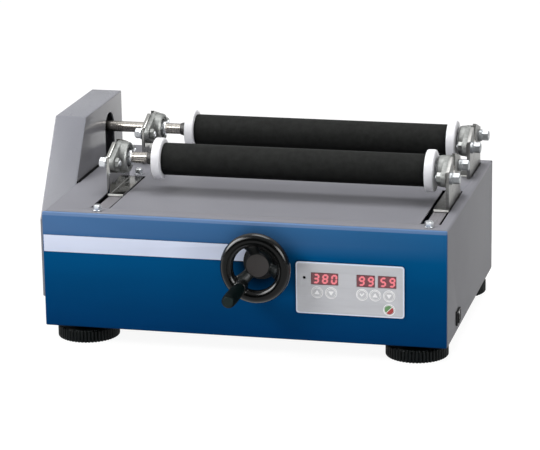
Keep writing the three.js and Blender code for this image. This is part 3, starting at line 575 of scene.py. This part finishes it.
inner_bend = BEND - SHEET
cover_line = ([(0, FOOT), (SHEET, FOOT)] + arc(BEND, DECK - BEND, inner_bend, 180, 90)
              + arc(WIDTH - BEND, DECK - BEND, inner_bend, 90, 0) + [(WIDTH - SHEET, FOOT), (WIDTH, FOOT)]
              + arc(WIDTH - BEND, DECK - BEND, BEND, 0, 90) + arc(BEND, DECK - BEND, BEND, 90, 180))
cover_cuts = []
for side in SIDES:
    for ends in (SLOT_Y, WINDOW_Y):
        hole = rectangle(SLOTS[side], SLOTS[side] + SLOT_WIDTH, *ends, SLOT_CORNER)
        cover_cuts.append(prism(hole, DECK - 4, DECK + 2, "z"))
switch_hole = [inset(span("switch_body", axis), SWITCH_LIP) for axis in "yz"]
motor_axis = [middle("motor_pulley", axis) for axis in "yz"]
motor_hole = lathe([(-2, 0), (-2, 7), (4, 7), (4, 0)], "x", *motor_axis, 32)
cover_cuts += [slab(WIDTH - 4, WIDTH + 2, *switch_hole[0], *switch_hole[1]), motor_hole]
cover = piece("cover_shell", prism(cover_line, *span("base_cover", "y"), "y"), grey_paint, "base",
              "base_cover", cuts=cover_cuts, bevel=0.25)
# The faces that look right get the lit copy of the grey paint.
recoat(cover, lit_side_paint, right_wall(WIDTH - 1))

panel_back = span("front_panel", "y")[1]
front = prism(rectangle(*inset((0, WIDTH), SKIN), *inset((FOOT, DECK), SKIN)), 0.02, panel_back, "y")
piece("front_plate", front, blue_paint, "base", "front_panel", bevel=3.4, segments=6,
      cuts=[prism(circle(SCREW_X, SCREW_Z, SCREW_HOLE), -2, 8, "y"),
            slab(*POCKET_X, -3, POCKET_FLOOR, *POCKET_Z)])
dress("chassis", grey_paint, 0.5)

# Feet with a fine knurl
FOOT_RADIUS, KNURL_DEPTH = 33.1, 1.9
TEETH, TOOTH_POINTS = 54, 6


def foot(x, y):
    count = TEETH * TOOTH_POINTS
    points = []
    for z, grown in ((0, -0.9), (0.9, 0), (12.0, 0), (13.5, -1.5)):
        for i in range(count):
            angle = 2 * math.pi * i / count
            groove = (1 - abs(math.cos(math.pi * i / TOOTH_POINTS))) ** 1.4
            radius = FOOT_RADIUS + grown - KNURL_DEPTH * groove
            points.append((*polar(x, y, radius, angle), z))
    neck = turned([(13.4, 0), (13.4, 22), (15, 14), (16, 12), (18.2, 12), (18.2, 0)], "z", x, y, 0.6)
    return joined(skinned(points, count), neck)


for row in ROWS:
    for side in SIDES:
        node = f"foot_{row}_{side}"
        disc = foot(middle(node, "x"), middle(node, "y"))
        piece("knurled_" + node, disc, foot_rubber, node, node, angle=24)


# Rails in the slots, and the bolts that hold them
def hex_bolt(corner, head, washer_radius, washer, steps=36):
    """Washer and head on +Z; corner is the radius of the head's corners, turned off at the top."""
    part = math.radians(60)
    across = corner * math.cos(part / 2)
    top = washer + head
    points = []
    for z, is_round in ((washer - 0.05, False), (top - 0.12 * corner, False), (top, True)):
        for i in range(steps):
            angle = 2 * math.pi * i / steps
            radius = 0.86 * across * 1.06 if is_round else across / math.cos((angle % part) - part / 2)
            points.append((*polar(0, 0, radius, angle), z))
    return joined(rod(0, washer, washer_radius, "z", 0, 0, 0.2, 40), skinned(points, steps))


BOLT_SEAT = DECK + 0.3
M5, M6 = 4.62, 5.77

for side in SIDES:
    node = "guide_rail_" + side
    dress(node, rail_steel, 0.4)
    rail_x, rail_z = span(node, "x"), span(node, "z")
    # Dark strips along the rail's right side and across the slot's rear end: painted shade where the gaps
    # fall dark.
    flank_shade = slab(rail_x[1] + 0.05, rail_x[1] + 0.4, 9, 295, rail_z[0], rail_z[1] - 0.2)
    end_shade_x = inset((SLOTS[side], SLOTS[side] + SLOT_WIDTH), 0.1)
    end_shade = slab(*end_shade_x, SLOT_Y[1] - 2.2, SLOT_Y[1] - 0.1, rail_z[1] + 0.1, BOLT_SEAT)
    piece("slot_shade_" + side, joined(flank_shade, end_shade), black_and_shade, "base", bevel=0.1)
    for row in ("front", "middle"):
        node = f"rail_bolt_{row}_{side}"
        x, y = sum(rail_x) / 2, middle(node, "y")
        stem = rod(rail_z[0] + 0.1, DECK + 0.4, 2.5, "z", x, y, 0.3, 24)
        head = moved(hex_bolt(M5, head=5.2, washer_radius=5, washer=1.1), "z", x, y, BOLT_SEAT)
        piece("hex_" + node, joined(head, stem), zinc, "base", node, angle=24)

# Brackets with a bent foot, flanged bearings and their bolts
AXES = {row: middle(row + "_shaft", "y") for row in ROWS}
AXIS_Z = middle("front_shaft", "z")
INWARD = {"left": 1, "right": -1}
OUTER = dict(zip(SIDES, span("front_shaft", "x")))
PLATE_THICK = 3.5
INNER = {side: OUTER[side] + INWARD[side] * PLATE_THICK for side in SIDES}
FOOT_X = {side: span("fixed_bracket_" + side, "x") for side in SIDES}
LIP_X = {"left": (46.4, 48.9), "right": (418.4, 420.5)}
UNDER = DECK - SHEET
HALF_FRONT, HALF_BACK = 33.0, 40.0
CRADLE, HORN, SHOULDER_UP, HORN_UP = 6.3, 8.5, 7.2, 17.8
FOOT_SPANS = {"front": (AXES["front"] - HALF_FRONT, AXES["front"] + 45),
              "rear": (AXES["rear"] - 22, AXES["rear"] + HALF_BACK)}
FOOT_THICK, BEND_INSIDE = 3, 1.4
EAR_OUT, EAR_RADIUS, EAR_HOLE = 28.7, 7.5, 3.3
HUB_RADIUS, HUB_BORE = 17.5, 10.5
FLANGE_THICK, BOSS_OUT = 5, 8
SEAT_GAP, NUT_OUT = 0.3, 5.9
WASHER = (6.6, 1.6)


def ear_holes(row):
    return [circle(AXES[row] + out, AXIS_Z, EAR_HOLE, 20) for out in (-EAR_OUT, EAR_OUT)]


def bracket_plate(row, side):
    """Plate with an open cradle for the shaft; the rear one stands clear of the deck before its foot."""
    axis_y = AXES[row]
    low, shoulder, top = UNDER + 1.2, AXIS_Z + SHOULDER_UP, AXIS_Z + HORN_UP
    back, front = axis_y + HALF_BACK, axis_y - HALF_FRONT
    corners = [(back, low, 0), (back, shoulder, 2.0), (axis_y + HORN, top, 0.8), (axis_y + CRADLE, top, 0),
               *[(y, z, 0) for y, z in arc(axis_y, AXIS_Z, CRADLE, 0, -180, 18)],
               (axis_y - CRADLE, top, 0), (axis_y - HORN, top, 0.8), (front, shoulder, 2.0)]
    if row == "rear":
        start = FOOT_SPANS[row][0]
        corners += [(front, DECK + 0.4, 0), (start, DECK + 0.4, 0), (start, low, 0)]
    else:
        corners.append((front, low, 0))
    outline = rounded([(y, z) for y, z, _ in corners], [radius for _, _, radius in corners], 3)
    return prism(outline, *sorted((OUTER[side], INNER[side])), "x", ear_holes(row))


def bend_fillet(side, y0, y1):
    """The inner fillet of the bracket's bend."""
    x, sign, top = INNER[side], INWARD[side], UNDER + FOOT_THICK
    curve = arc(x + sign * BEND_INSIDE, top + BEND_INSIDE, BEND_INSIDE, 90 + sign * 90, 90 + sign * 180, 5)
    return prism([(x, top), *curve], y0, y1, "y")


def flange(row, side):
    """Two-bolt flange of a bearing, with ears."""
    axis_y = AXES[row]
    lean = math.degrees(math.acos((HUB_RADIUS - EAR_RADIUS) / EAR_OUT))
    outline = (arc(axis_y + EAR_OUT, AXIS_Z, EAR_RADIUS, -lean, lean, 10)
               + arc(axis_y, AXIS_Z, HUB_RADIUS, lean, 180 - lean, 12)
               + arc(axis_y - EAR_OUT, AXIS_Z, EAR_RADIUS, 180 - lean, 180 + lean, 10)
               + arc(axis_y, AXIS_Z, HUB_RADIUS, 180 + lean, 360 - lean, 12))
    holes = [circle(axis_y, AXIS_Z, HUB_BORE, 40), *ear_holes(row)]
    face = INNER[side] + INWARD[side] * SEAT_GAP
    return prism(outline, *sorted((face, face + INWARD[side] * FLANGE_THICK)), "x", holes)


def boss(row, side):
    """The flange's round boss, which holds the bearing's insert."""
    sign = INWARD[side]
    base = INNER[side] + sign * (SEAT_GAP + FLANGE_THICK)
    top = base + sign * BOSS_OUT
    rim = [(base - sign * 2, HUB_BORE), (base - sign * 2, 17.2), (base, 17.2), (top - sign * 2.2, 16.6),
           (top, 15.6), (top, 13.4), (top - sign * 1.2, 12.8), (top - sign * 1.2, HUB_BORE),
           (base - sign * 2, HUB_BORE)]
    return turned(rim, "x", AXES[row], AXIS_Z, 0.5)


def build_bracket(row, side, body):
    node = f"{'sliding' if row == 'front' else 'fixed'}_bracket_{side}"
    # The left brackets get the lighter polished sheet and the right ones the darker brushed one: partly a
    # finish, partly painted shade on the right side.
    sheet = polished if side == "left" else stainless
    foot_y = FOOT_SPANS[row]
    foot_plate = prism(rectangle(*FOOT_X[side], *foot_y), UNDER + 0.02, UNDER + FOOT_THICK, "z")
    fillet = bend_fillet(side, foot_y[0] + 0.3, AXES[row] + HALF_BACK - 0.3)
    # A lighter strip on the foot's front edge: cut metal, brightened as a painted highlight.
    edge = slab(*inset(FOOT_X[side], 0.5), foot_y[0] - 0.08, foot_y[0] + 0.5, UNDER + 0.5, UNDER + 2.9)
    for name, shape, material, bevel in (("plate", bracket_plate(row, side), sheet, 0.5),
                                         ("base", foot_plate, sheet, 0.5), ("bend", fillet, sheet, 0.0),
                                         ("edge", edge, cut_edge_highlight, 0.2)):
        piece(f"{name}_{node}", shape, material, body, node, bevel=bevel)
    if row == "front":
        lip_z = (span(node, "z")[0], UNDER + 2)
        lip = slab(*LIP_X[side], AXES[row] - 20, AXES[row] + 20, *lip_z)
        piece("lip_" + node, lip, stainless, body, node, bevel=0.3)


def build_bearing_bolt(row, side, spot, body):
    """Bolt head outside, on a spring washer on the right, and its nut inside."""
    node = f"{row}_bearing_bolt_{spot}_{side}"
    sign = INWARD[side]
    y = AXES[row] + (EAR_OUT if spot == "far" else -EAR_OUT)
    seat, nut_seat = OUTER[side] - sign * SEAT_GAP, INNER[side] + sign * NUT_OUT
    head = hex_bolt(M6, 6.4, *WASHER)
    if side == "right":
        spring = rod(1.5, 4.5, 5.4, "z", 0, 0, 0.4, 40)
        raised = moved(hex_bolt(M6, 7.9, *WASHER), "z", 0, 0, 1.5)
        head = joined(spring, raised, hex_bolt(M6, 2.0, *WASHER))
    out, back = ("-x", "x") if side == "left" else ("x", "-x")
    head = moved(head, out, seat, y, AXIS_Z)
    nut = moved(hex_bolt(M6, head=4.4, washer_radius=5.4, washer=0.1), back, nut_seat, y, AXIS_Z)
    shank = rod(*sorted((seat, nut_seat + sign * 5.6)), 3, "x", y, AXIS_Z, 0.5, 28)
    # The right side's bolts get the darker copy of the zinc: painted shade.
    finish = zinc if side == "left" else shaded_zinc
    piece("hex_" + node, joined(head, shank), finish, body, node, angle=24)
    piece("nut_" + node, nut, dull_zinc, body, node, angle=24)


for row in ROWS:
    body = "carriage" if row == "front" else "base"
    for side in SIDES:
        build_bracket(row, side, body)
        node = f"{row}_bearing_{side}"
        piece("flange_" + node, flange(row, side), casting, body, node, bevel=0.9, segments=3)
        piece("boss_" + node, boss(row, side), casting, body, node)
        for spot in ("near", "far"):
            build_bearing_bolt(row, side, spot, body)

# Rollers on their shafts, with the bearings' inserts
SHAFT_RADIUS, SHAFT_BORE = 5.98, 5.9
RING_RADIUS, ROLLER_RADIUS, ROLLER_BORE = 22.45, 17.4, 6.4
INSERT_OUT = 13.3


def build_insert(row, side):
    """Dark seal, bright nose and grub screw of the insert, which turn with the shaft."""
    axis_y, sign = AXES[row], INWARD[side]
    node = row + "_shaft"
    face = INNER[side]
    end = face + sign * INSERT_OUT
    nose_end = end + sign * (3.2 if side == "left" else 2.2)
    outer_ring = tube(face + sign * 0.8, end - sign * 2.2, SHAFT_BORE, 10.1, "x", axis_y, AXIS_Z, 0.4)
    nose = tube(end - sign * 2.6, nose_end, SHAFT_BORE, 8.4, "x", axis_y, AXIS_Z, 0.5)
    grub = rod(AXIS_Z + 7, AXIS_Z + 8.8, 1.5, "z", (end + nose_end) / 2, axis_y, 0.2, 20)
    for name, shape, material, slot in (("seal", outer_ring, seal, "black_rubber"),
                                        ("insert", nose, zinc, "zinc_plate"),
                                        ("grub", grub, seal, "black_rubber")):
        piece(f"{name}_{node}_{side}", shape, material, row + "_roller", node)


for row in ROWS:
    body = row + "_roller"
    line = ("x", AXES[row], AXIS_Z)
    for side in SIDES:
        node = f"{row}_ring_{side}"
        ring = tube(*span(node, "x"), ROLLER_BORE, RING_RADIUS, *line, 2.2, 96)
        piece("end_" + node, ring, white_ring, body, node)
    sleeve = tube(*span(body, "x"), ROLLER_BORE, ROLLER_RADIUS, *line, 0.8, 96)
    piece("sleeve_" + row, sleeve, rubber, body, body)
    node = row + "_shaft"
    bar = rod(*span(node, "x"), SHAFT_RADIUS, *line, 0.8)
    piece("bar_" + node, bar, steel_lathe, body, node)
    end = span(row + "_ring_left", "x")[0] - 0.4
    collar = [(end - 8.5, SHAFT_BORE), (end - 8.5, 6.4), (end - 2.6, 8.2), (end, 8.2), (end, SHAFT_BORE),
              (end - 8.5, SHAFT_BORE)]
    piece("collar_" + node, turned(collar, *line, 0.4), seal, body, node)
    for side in SIDES:
        build_insert(row, side)

# Lead screw front and bush
bush_front, bush_back = span("screw_bush", "y")
# The bush's broad black flange is partly the real black bush and partly painted shade, standing in for the
# handwheel's shadow behind it.
bush_line = [(bush_front, 6.3), (bush_front, 18.4), (PLATE_BACK, 18.4), (PLATE_BACK, 11), (bush_back, 11),
             (bush_back, 6.3), (bush_front, 6.3)]
bush = turned(bush_line, "y", SCREW_X, SCREW_Z, 0.5, 96)
piece("bush", bush, matt_black, "base", "screw_bush")
dress("lead_screw", steel_lathe, 0.3)
dress("cross_slide", zinc, 0.5)

# Handwheel: rim, hub, spokes and grip boss run together by a remesh
RIM, SECTION, RIM_Y = 30.5, 6.9, -26.0
SPOKE_ANGLES = (105, 225, 345)
SPOKE_SECTIONS = ((5, -10.5, 6.0, 4.0), (11, -11.5, 6.4, 4.0), (16, -15.0, 6.2, 3.8),
                  (21, -19.5, 7.2, 4.0), (26, -23.0, 9.4, 4.6), (31, -25.5, 11.5, 5.2))
SPOKES_END, VOXEL = 22.5, 0.75
GRIP_ANGLE, GRIP_OUT = 233, 25.6


def wheel_at(angle, radius):
    return polar(SCREW_X, SCREW_Z, radius, math.radians(angle))


def spoke(angle, steps=20):
    """A bent arm; its sections are (distance from the axis, Y, half width, half depth)."""
    centres = []
    for reach, y, _, _ in SPOKE_SECTIONS:
        x, z = wheel_at(angle, reach)
        centres.append(Vector((x, y, z)))
    last = len(centres) - 1
    points = []
    for k, (centre, (_, _, wide, deep)) in enumerate(zip(centres, SPOKE_SECTIONS)):
        way = (centres[min(k + 1, last)] - centres[max(k - 1, 0)]).normalized()
        across = way.cross(Vector((0, 1, 0))).normalized()
        over = across.cross(way).normalized()
        for i in range(steps):
            around = 2 * math.pi * i / steps
            points.append(tuple(centre + across * wide * math.cos(around) + over * deep * math.sin(around)))
    return skinned(points, steps)


def near_hub(face):
    axis = at(SCREW_X, 0, SCREW_Z)
    return math.hypot(face.center.x - axis.x, face.center.z - axis.z) < SPOKES_END * MM


GRIP_X, GRIP_Z = wheel_at(GRIP_ANGLE, GRIP_OUT)
rim_angles = [2 * math.pi * i / 28 for i in range(28)]
rim_line = [(RIM_Y + SECTION * math.sin(t), RIM + SECTION * math.cos(t)) for t in rim_angles]
rim = lathe(rim_line + [rim_line[0]], "y", SCREW_X, SCREW_Z, 96)
hub_line = [(-16.9, 0), (-16.9, 13.3), (-3.9, 13.3), (-3.9, 6.3), (-14, 6.3), (-14, 0)]
hub = turned(hub_line, "y", SCREW_X, SCREW_Z, 1.2)
grip_boss = rod(-33.0, -20, 6.5, "y", GRIP_X, GRIP_Z, 1.0, 48)
wheel = piece("wheel", joined(rim, hub, grip_boss, *[spoke(a) for a in SPOKE_ANGLES]), gloss_black,
              "handwheel", "handwheel")
run_together = wheel.modifiers.new("blend", "REMESH")
run_together.mode = "VOXEL"
run_together.voxel_size = VOXEL * MM
ease = wheel.modifiers.new("ease", "SMOOTH")
ease.factor = 0.5
ease.iterations = 6
applied(wheel)
finish_mesh(wheel, 60)
recoat(wheel, spoke_black, near_hub)
piece("hub_cap", rod(-16.2, -17.0, 12.2, "y", SCREW_X, SCREW_Z, 0.3), hub_black, "handwheel", "handwheel")

# Grip: a waisted sleeve on a steel pin
grip_front, grip_back = span("grip", "y")
piece("grip_pin", rod(grip_front + 6, -31, 2.95, "y", GRIP_X, GRIP_Z, 0.4, 40), steel_lathe, "handwheel",
      "handwheel")
grip_line = [(grip_front, 0), (grip_front, 5.4), (-80, 6.9), (-76, 7.3), (-70, 7.5), (-62, 7.45),
             (-52, 7.2), (-43, 6.5), (-38, 6.1), (-35.0, 6.0), (grip_back, 5.4), (grip_back, 3.4),
             (-76.2, 3.4), (-76.2, 0)]
sleeve = piece("grip_sleeve", turned(grip_line, "y", GRIP_X, GRIP_Z, 0.9, 56), grip_black, "grip", "grip")
recoat(sleeve, grip_end, lambda face: face.normal.y < -0.8)

# Belt housing, open to the base below its deck, and notched for the rear shaft
DEPTH = span("chassis", "y")[1]
TOWER_X, (TOWER_FRONT, TOWER_BACK) = span("drive_cover", "x"), span("drive_cover", "y")
TOWER_TOP = span("drive_cover", "z")[1]
SLOPE_Y, SLOPE_Z = 165.7, 106.5
NOTCH_HALF, NOTCH_Y, NOTCH_Z = 17.5, AXES["rear"] + 4, 175.5
OPEN_EDGE = SHEET + 0.1

drive_line = [(TOWER_BACK, FOOT), (TOWER_BACK, TOWER_TOP), (SLOPE_Y, TOWER_TOP), (TOWER_FRONT, SLOPE_Z),
              (TOWER_FRONT, FOOT)]
inside_y, inside_z = inset((TOWER_FRONT, TOWER_BACK), SHEET), inset((FOOT, TOWER_TOP), SHEET)
inside_line = [(inside_y[1], inside_z[0]), (inside_y[1], inside_z[1]), (SLOPE_Y + 0.9, inside_z[1]),
               (inside_y[0], SLOPE_Z - 0.5), (inside_y[0], inside_z[0])]
notch = [(NOTCH_Y - NOTCH_HALF, DECK - 5), *arc(NOTCH_Y, NOTCH_Z, NOTCH_HALF, 180, 0, 16),
         (NOTCH_Y + NOTCH_HALF, DECK - 5)]
opening = slab(-3, 2, *inset((TOWER_FRONT, TOWER_BACK), OPEN_EDGE), FOOT + OPEN_EDGE, DECK - 3.5)
tower = piece("tower", prism(drive_line, *inset(TOWER_X, SKIN), "x"), tower_paint, "base", "drive_cover",
              bevel_first=1.4, segments=4,
              cuts=[prism(inside_line, *inset(TOWER_X, SHEET), "x"), prism(notch, -3, 2, "x"), opening])
# The tower's inner wall gets the darker copy of its paint: painted shade.
recoat(tower, shaded_wall_paint, right_wall(-1))
# A dark strip along the seam between the belt housing and the deck: painted shade in the gap.
seam_shade_line = [(-0.3, DECK - 3.1), (2.8, DECK - 2.5), (3.1, DECK + 0.2), (2.4, DECK + 0.6), (-0.3, DECK + 0.6)]
seam_shade = prism(seam_shade_line, 124.5, DEPTH - 2.5, "y")
piece("deck_seam_shade", seam_shade, black_and_shade, "base")

# Nodes that keep their own shape
for node, material, bevel in (("roller_pulley", matt_black, 0.3), ("motor_pulley", matt_black, 0.3),
                              ("drive_belt", belt_black, 0.0), ("gear_motor", motor_grey, 0.8),
                              ("power_inlet", matt_black, 0.4), ("switch_body", matt_black, 0.4),
                              ("switch_rocker", gloss_black, 0.5)):
    dress(node, material, bevel)

# Control plate with its light border, the windows, the lamp and the board behind them
PLATE_X, PLATE_Z = span("control_plate", "x"), span("control_plate", "z")
BORDER = 1.3
WINDOWS = ((290.59, 318.95), (338.60, 357.39), (361.09, 379.77))
WINDOW_Z = (81.1, 93.5)
LAMP_X, LAMP_Z = 283.2, 87.7
KEY_NAMES = ("speed_up", "speed_down", "timer_set", "time_up", "time_down", "start_stop")
KEYS = {name: (middle("key_" + name, "x"), middle("key_" + name, "z")) for name in KEY_NAMES}

plate_inner = rectangle(*inset(PLATE_X, BORDER), *inset(PLATE_Z, BORDER), 2.2, 6)
openings = [rectangle(*inset(ends, -0.3), *inset(WINDOW_Z, -0.3), 0.5, 3) for ends in WINDOWS]
openings += [circle(x, z, 5.4, 48) for x, z in KEYS.values()] + [circle(LAMP_X, LAMP_Z, 1.6, 24)]
face = prism(plate_inner, -1.8, PLATE_BACK, "y", openings)
rim = prism(rectangle(*PLATE_X, *PLATE_Z, 3.4, 6), -1.85, PLATE_BACK, "y", [plate_inner])
for name, shape, material, bevel in (("face", face, plate_silver, 0.12), ("rim", rim, plate_edge, 0.25)):
    piece("plate_" + name, shape, material, "base", "control_plate", bevel=bevel)
glass = [prism(rectangle(*ends, *WINDOW_Z, 0.4, 3), -1.98, 0.6, "y") for ends in WINDOWS]
board = slab(POCKET_X[0] + 0.5, POCKET_X[1] - 0.6, 0.35, POCKET_FLOOR - 0.35, *inset(POCKET_Z, 0.6))
lens = turned([(-2.15, 0), (-2.0, 0.9), (-1.6, 1.3), (0.6, 1.3), (0.6, 0)], "y", LAMP_X, LAMP_Z, 0.2, 24)
for name, shape, material, bevel in (("windows", joined(*glass), window_red, 0.1),
                                     ("display_board", board, black_and_shade, 0.2),
                                     ("lamp", lens, black_and_shade, 0.0)):
    piece(name, shape, material, "base", "display_module", bevel=bevel)

# Digits
SEGMENTS = {"0": "abcdef", "3": "abcdg", "5": "acdfg", "8": "abcdefg", "9": "abcdfg"}
DIGIT_HIGH, STROKE, DIGIT_LEAN = 10.4, 2.1, 0.1


def digit(sign, x, z, wide):
    """Seven-segment numeral, leaning a little."""
    half, thick = STROKE / 2, STROKE / 2 * 0.98
    centre = z + DIGIT_HIGH / 2
    left, right = x + half, x + wide - half
    low, top = z + half, z + DIGIT_HIGH - half
    strokes = {"a": ((left, top), (right, top)), "g": ((left, centre), (right, centre)),
               "d": ((left, low), (right, low)), "f": ((left, centre), (left, top)),
               "b": ((right, centre), (right, top)), "e": ((left, low), (left, centre)),
               "c": ((right, low), (right, centre))}
    shapes = []
    for name in SEGMENTS[sign]:
        (x0, z0), (x1, z1) = strokes[name]
        u, v = (thick, 0) if z0 == z1 else (0, thick)
        line = [(x0, z0), (x0 + u + v, z0 + v - u), (x1 - u + v, z1 - v - u), (x1, z1),
                (x1 - u - v, z1 - v + u), (x0 + u - v, z0 + v + u)]
        leaning = [(a + (b - z) * DIGIT_LEAN, b) for a, b in line]
        shapes.append(prism(leaning, -2.05, -1.95, "y"))
    return shapes


for number, (text, (left, right)) in enumerate(zip(("380", "99", "59"), WINDOWS)):
    pitch = (right - left) / len(text)
    shapes = []
    for i, sign in enumerate(text):
        shapes += digit(sign, left + i * pitch + 0.2 * pitch - 0.3, WINDOW_Z[0] + 1.0, 0.7 * pitch)
    piece(f"digits_{number}", joined(*shapes), digit_red, "base")

# Keys: the ring printed round each, the cap, its face and the mark on it
KEY_RADIUS, KEY_BACK, MARK_FRONT = 5.05, -1.1, -2.28


def key_part(name, key, shape, material, bevel=0.0):
    piece(f"{name}_{key}", shape, material, key, bevel=bevel)


def build_cap(key, x, z, front):
    cap = rod(front, KEY_BACK, KEY_RADIUS, "y", x, z, 0.25, 56)
    piece("cap_" + key, cap, key_white, key, key)


def build_two_colour_key(key, x, z):
    """Start and stop: a green and a red half with a gap between them."""
    build_cap(key, x, z, -2.1)
    for tint, start, material in (("green", 45, key_green), ("red", 225, key_red)):
        across = math.radians(start + 90)
        shift_x, shift_z = 0.35 * math.cos(across), 0.35 * math.sin(across)
        half = [(a + shift_x, b + shift_z) for a, b in arc(x, z, 4.35, start, start + 180, 28)]
        key_part(tint, key, prism(half, MARK_FRONT, -2.05, "y"), material, 0.06)


def build_marked_key(key, x, z):
    """A key with a tick, or with an arrow up or down."""
    build_cap(key, x, z, -2.15)
    key_part("face", key, rod(-2.2, -2.0, 4.45, "y", x, z, 0.08, 56), key_face)
    if key == "key_timer_set":
        mark = [(-2.6, 1.0), (-0.4, -2.0), (2.6, 1.5), (1.5, 2.1), (-0.3, -0.2), (-1.6, 1.8)]
    else:
        way = 1 if key.endswith("up") else -1
        mark = [(-2.9, -1.9 * way), (2.9, -1.9 * way), (0, 2.7 * way)]
    line = rounded([(x + a, z + b) for a, b in mark], 0.4, 3)
    key_part("mark", key, prism(line, MARK_FRONT, -2.1, "y"), key_white)


for name, (x, z) in KEYS.items():
    key = "key_" + name
    ring = prism(circle(x, z, 6.3, 56), -1.92, -1.5, "y", [circle(x, z, 5.42, 56)])
    piece("ring_" + key, ring, key_white, "base", bevel=0.05)
    if name == "start_stop":
        build_two_colour_key(key, x, z)
    else:
        build_marked_key(key, x, z)

# Bare stripe, which ends round the bush
stripe_left = span("label_stripe", "x")[0]
stripe_low, stripe_top = span("label_stripe", "z")
round_end = [p for p in arc(SCREW_X, SCREW_Z, 18.8, 270, 90, 72) if stripe_low < p[1] < stripe_top]
stripe = prism([(stripe_left, stripe_top), (stripe_left, stripe_low), *round_end], -0.8, PLATE_BACK, "y")
piece("bare_stripe", stripe, stripe_white, "base", "label_stripe", bevel=0.1)


# Floor: white to the camera and in reflections, and it keeps the object's shadow
def seen_rays(tree, *kinds):
    """1 for rays of these kinds."""
    path = add(tree, "ShaderNodeLightPath", {})
    total = path.outputs[kinds[0]]
    for kind in kinds[1:]:
        total = combined(tree, "MAXIMUM", total, path.outputs[kind])
    return total


def either(tree, share, one, two):
    """The first shader where the share is 0, and the second where it is 1."""
    return add(tree, "ShaderNodeMixShader", {0: share, 1: one, 2: two}).outputs[0]


WHITE = (1, 1, 1, 1)

floor_material, tree, _ = new_material("floor")
tree.nodes.clear()
pale = add(tree, "ShaderNodeBsdfDiffuse", {"Color": (0.62, 0.62, 0.63, 1)}).outputs[0]
seen = add(tree, "ShaderNodeBsdfDiffuse", {"Color": (0.16, 0.16, 0.16, 1)}).outputs[0]
glow = add(tree, "ShaderNodeEmission", {"Color": WHITE, "Strength": 0.92}).outputs[0]
both = add(tree, "ShaderNodeAddShader", {0: seen, 1: glow}).outputs[0]
watched = seen_rays(tree, "Is Camera Ray", "Is Glossy Ray", "Is Transmission Ray")
add(tree, "ShaderNodeOutputMaterial", {"Surface": either(tree, watched, pale, both)})
bpy.ops.mesh.primitive_plane_add(size=14, location=(0, 0, -0.0002))
floor = bpy.context.object
floor.name = "floor"
floor.data.materials.append(floor_material)

# World: plain light, a studio with two soft boxes in reflections, and white behind
world = bpy.data.worlds.new("studio")
bpy.context.scene.world = world
world.use_nodes = True
tree = world.node_tree
tree.nodes.clear()
ways = place_in(tree, "Generated")
sky_axes = axes_of(tree, ways)


def across_sky(axis, stops):
    return ramp(tree, map_range(tree, sky_axes[axis], (-1.0, 1.0)), stops)


def soft_box(below, direction, inner, outer, level):
    """Adds a bright patch round a direction to what shiny surfaces reflect."""
    inputs = {0: ways, 1: Vector(direction).normalized()}
    near = add(tree, "ShaderNodeVectorMath", inputs, operation="DOT_PRODUCT")
    edges = (math.cos(math.radians(outer)), math.cos(math.radians(inner)))
    patch = map_range(tree, near.outputs["Value"], edges, (0.0, level))
    return mixed(tree, below, patch, "ADD")


walls = mixed(tree, across_sky("X", [(0.0, 1.0), (0.45, 0.85), (0.7, 0.6), (1.0, 0.35)]),
              across_sky("Y", [(0.0, 0.08), (0.4, 0.3), (0.62, 0.8), (1.0, 0.62)]), "MULTIPLY")
studio = mixed(tree, walls, across_sky("Z", [(0.74, 0.0), (0.88, 1.0)]), "LIGHTEN")
studio = soft_box(studio, (-0.83, -0.23, 0.5), 14, 24, 14)
studio = soft_box(studio, (0.73, -0.56, 0.4), 11, 19, 16)
sky = across_sky("X", [(0.0, 1.0), (0.5, 0.8), (1.0, 0.5)])
ambient = add(tree, "ShaderNodeBackground", {"Color": sky, "Strength": 0.57}).outputs[0]
mirrored = add(tree, "ShaderNodeBackground", {"Color": studio}).outputs[0]
white = add(tree, "ShaderNodeBackground", {"Color": WHITE}).outputs[0]
lit = either(tree, seen_rays(tree, "Is Glossy Ray"), ambient, mirrored)
behind = seen_rays(tree, "Is Camera Ray", "Is Transmission Ray")
add(tree, "ShaderNodeOutputWorld", {"Surface": either(tree, behind, lit, white)})


# Lamps, all aimed at the middle of the object
LAMP_AIM = Vector((0, 0, 0.1))


def lamp(name, place, size, power):
    data = bpy.data.lights.new(name, "AREA")
    data.shape = "RECTANGLE"
    data.size, data.size_y = size
    data.energy = power
    obj = placed(name, data)
    obj.location = place
    obj.rotation_euler = (LAMP_AIM - Vector(place)).to_track_quat("-Z", "Y").to_euler()


lamp("key", (-1.2, -1.3, 1.5), (0.8, 0.8), 19)
lamp("top", (0.1, 0.3, 1.9), (1.2, 0.8), 20)
lamp("side", (1.7, -1.0, 0.9), (0.5, 1.3), 8.5)

# Camera, fitted to the photograph
LENS = 173.4576
YAW, PITCH, ROLL = (math.radians(a) for a in (13.691, 15.604, -0.849))
STAND = at(858.805, -2510.169, 844.724 + FOOT)

camera_data = bpy.data.cameras.new("camera")
camera_data.sensor_width = 36
camera_data.lens = LENS
camera_data.clip_end = 60
camera = placed("camera", camera_data)
ahead = Vector((-math.sin(YAW) * math.cos(PITCH), math.cos(YAW) * math.cos(PITCH), -math.sin(PITCH)))
level = Vector((math.cos(YAW), math.sin(YAW), 0))
above = level.cross(ahead)
right = level * math.cos(ROLL) + above * math.sin(ROLL)
up = above * math.cos(ROLL) - level * math.sin(ROLL)
turn = Matrix((right, up, -ahead)).transposed().to_4x4()
camera.matrix_world = Matrix.Translation(STAND) @ turn
bpy.context.scene.camera = camera
bpy.context.scene.view_settings.view_transform = "Standard"
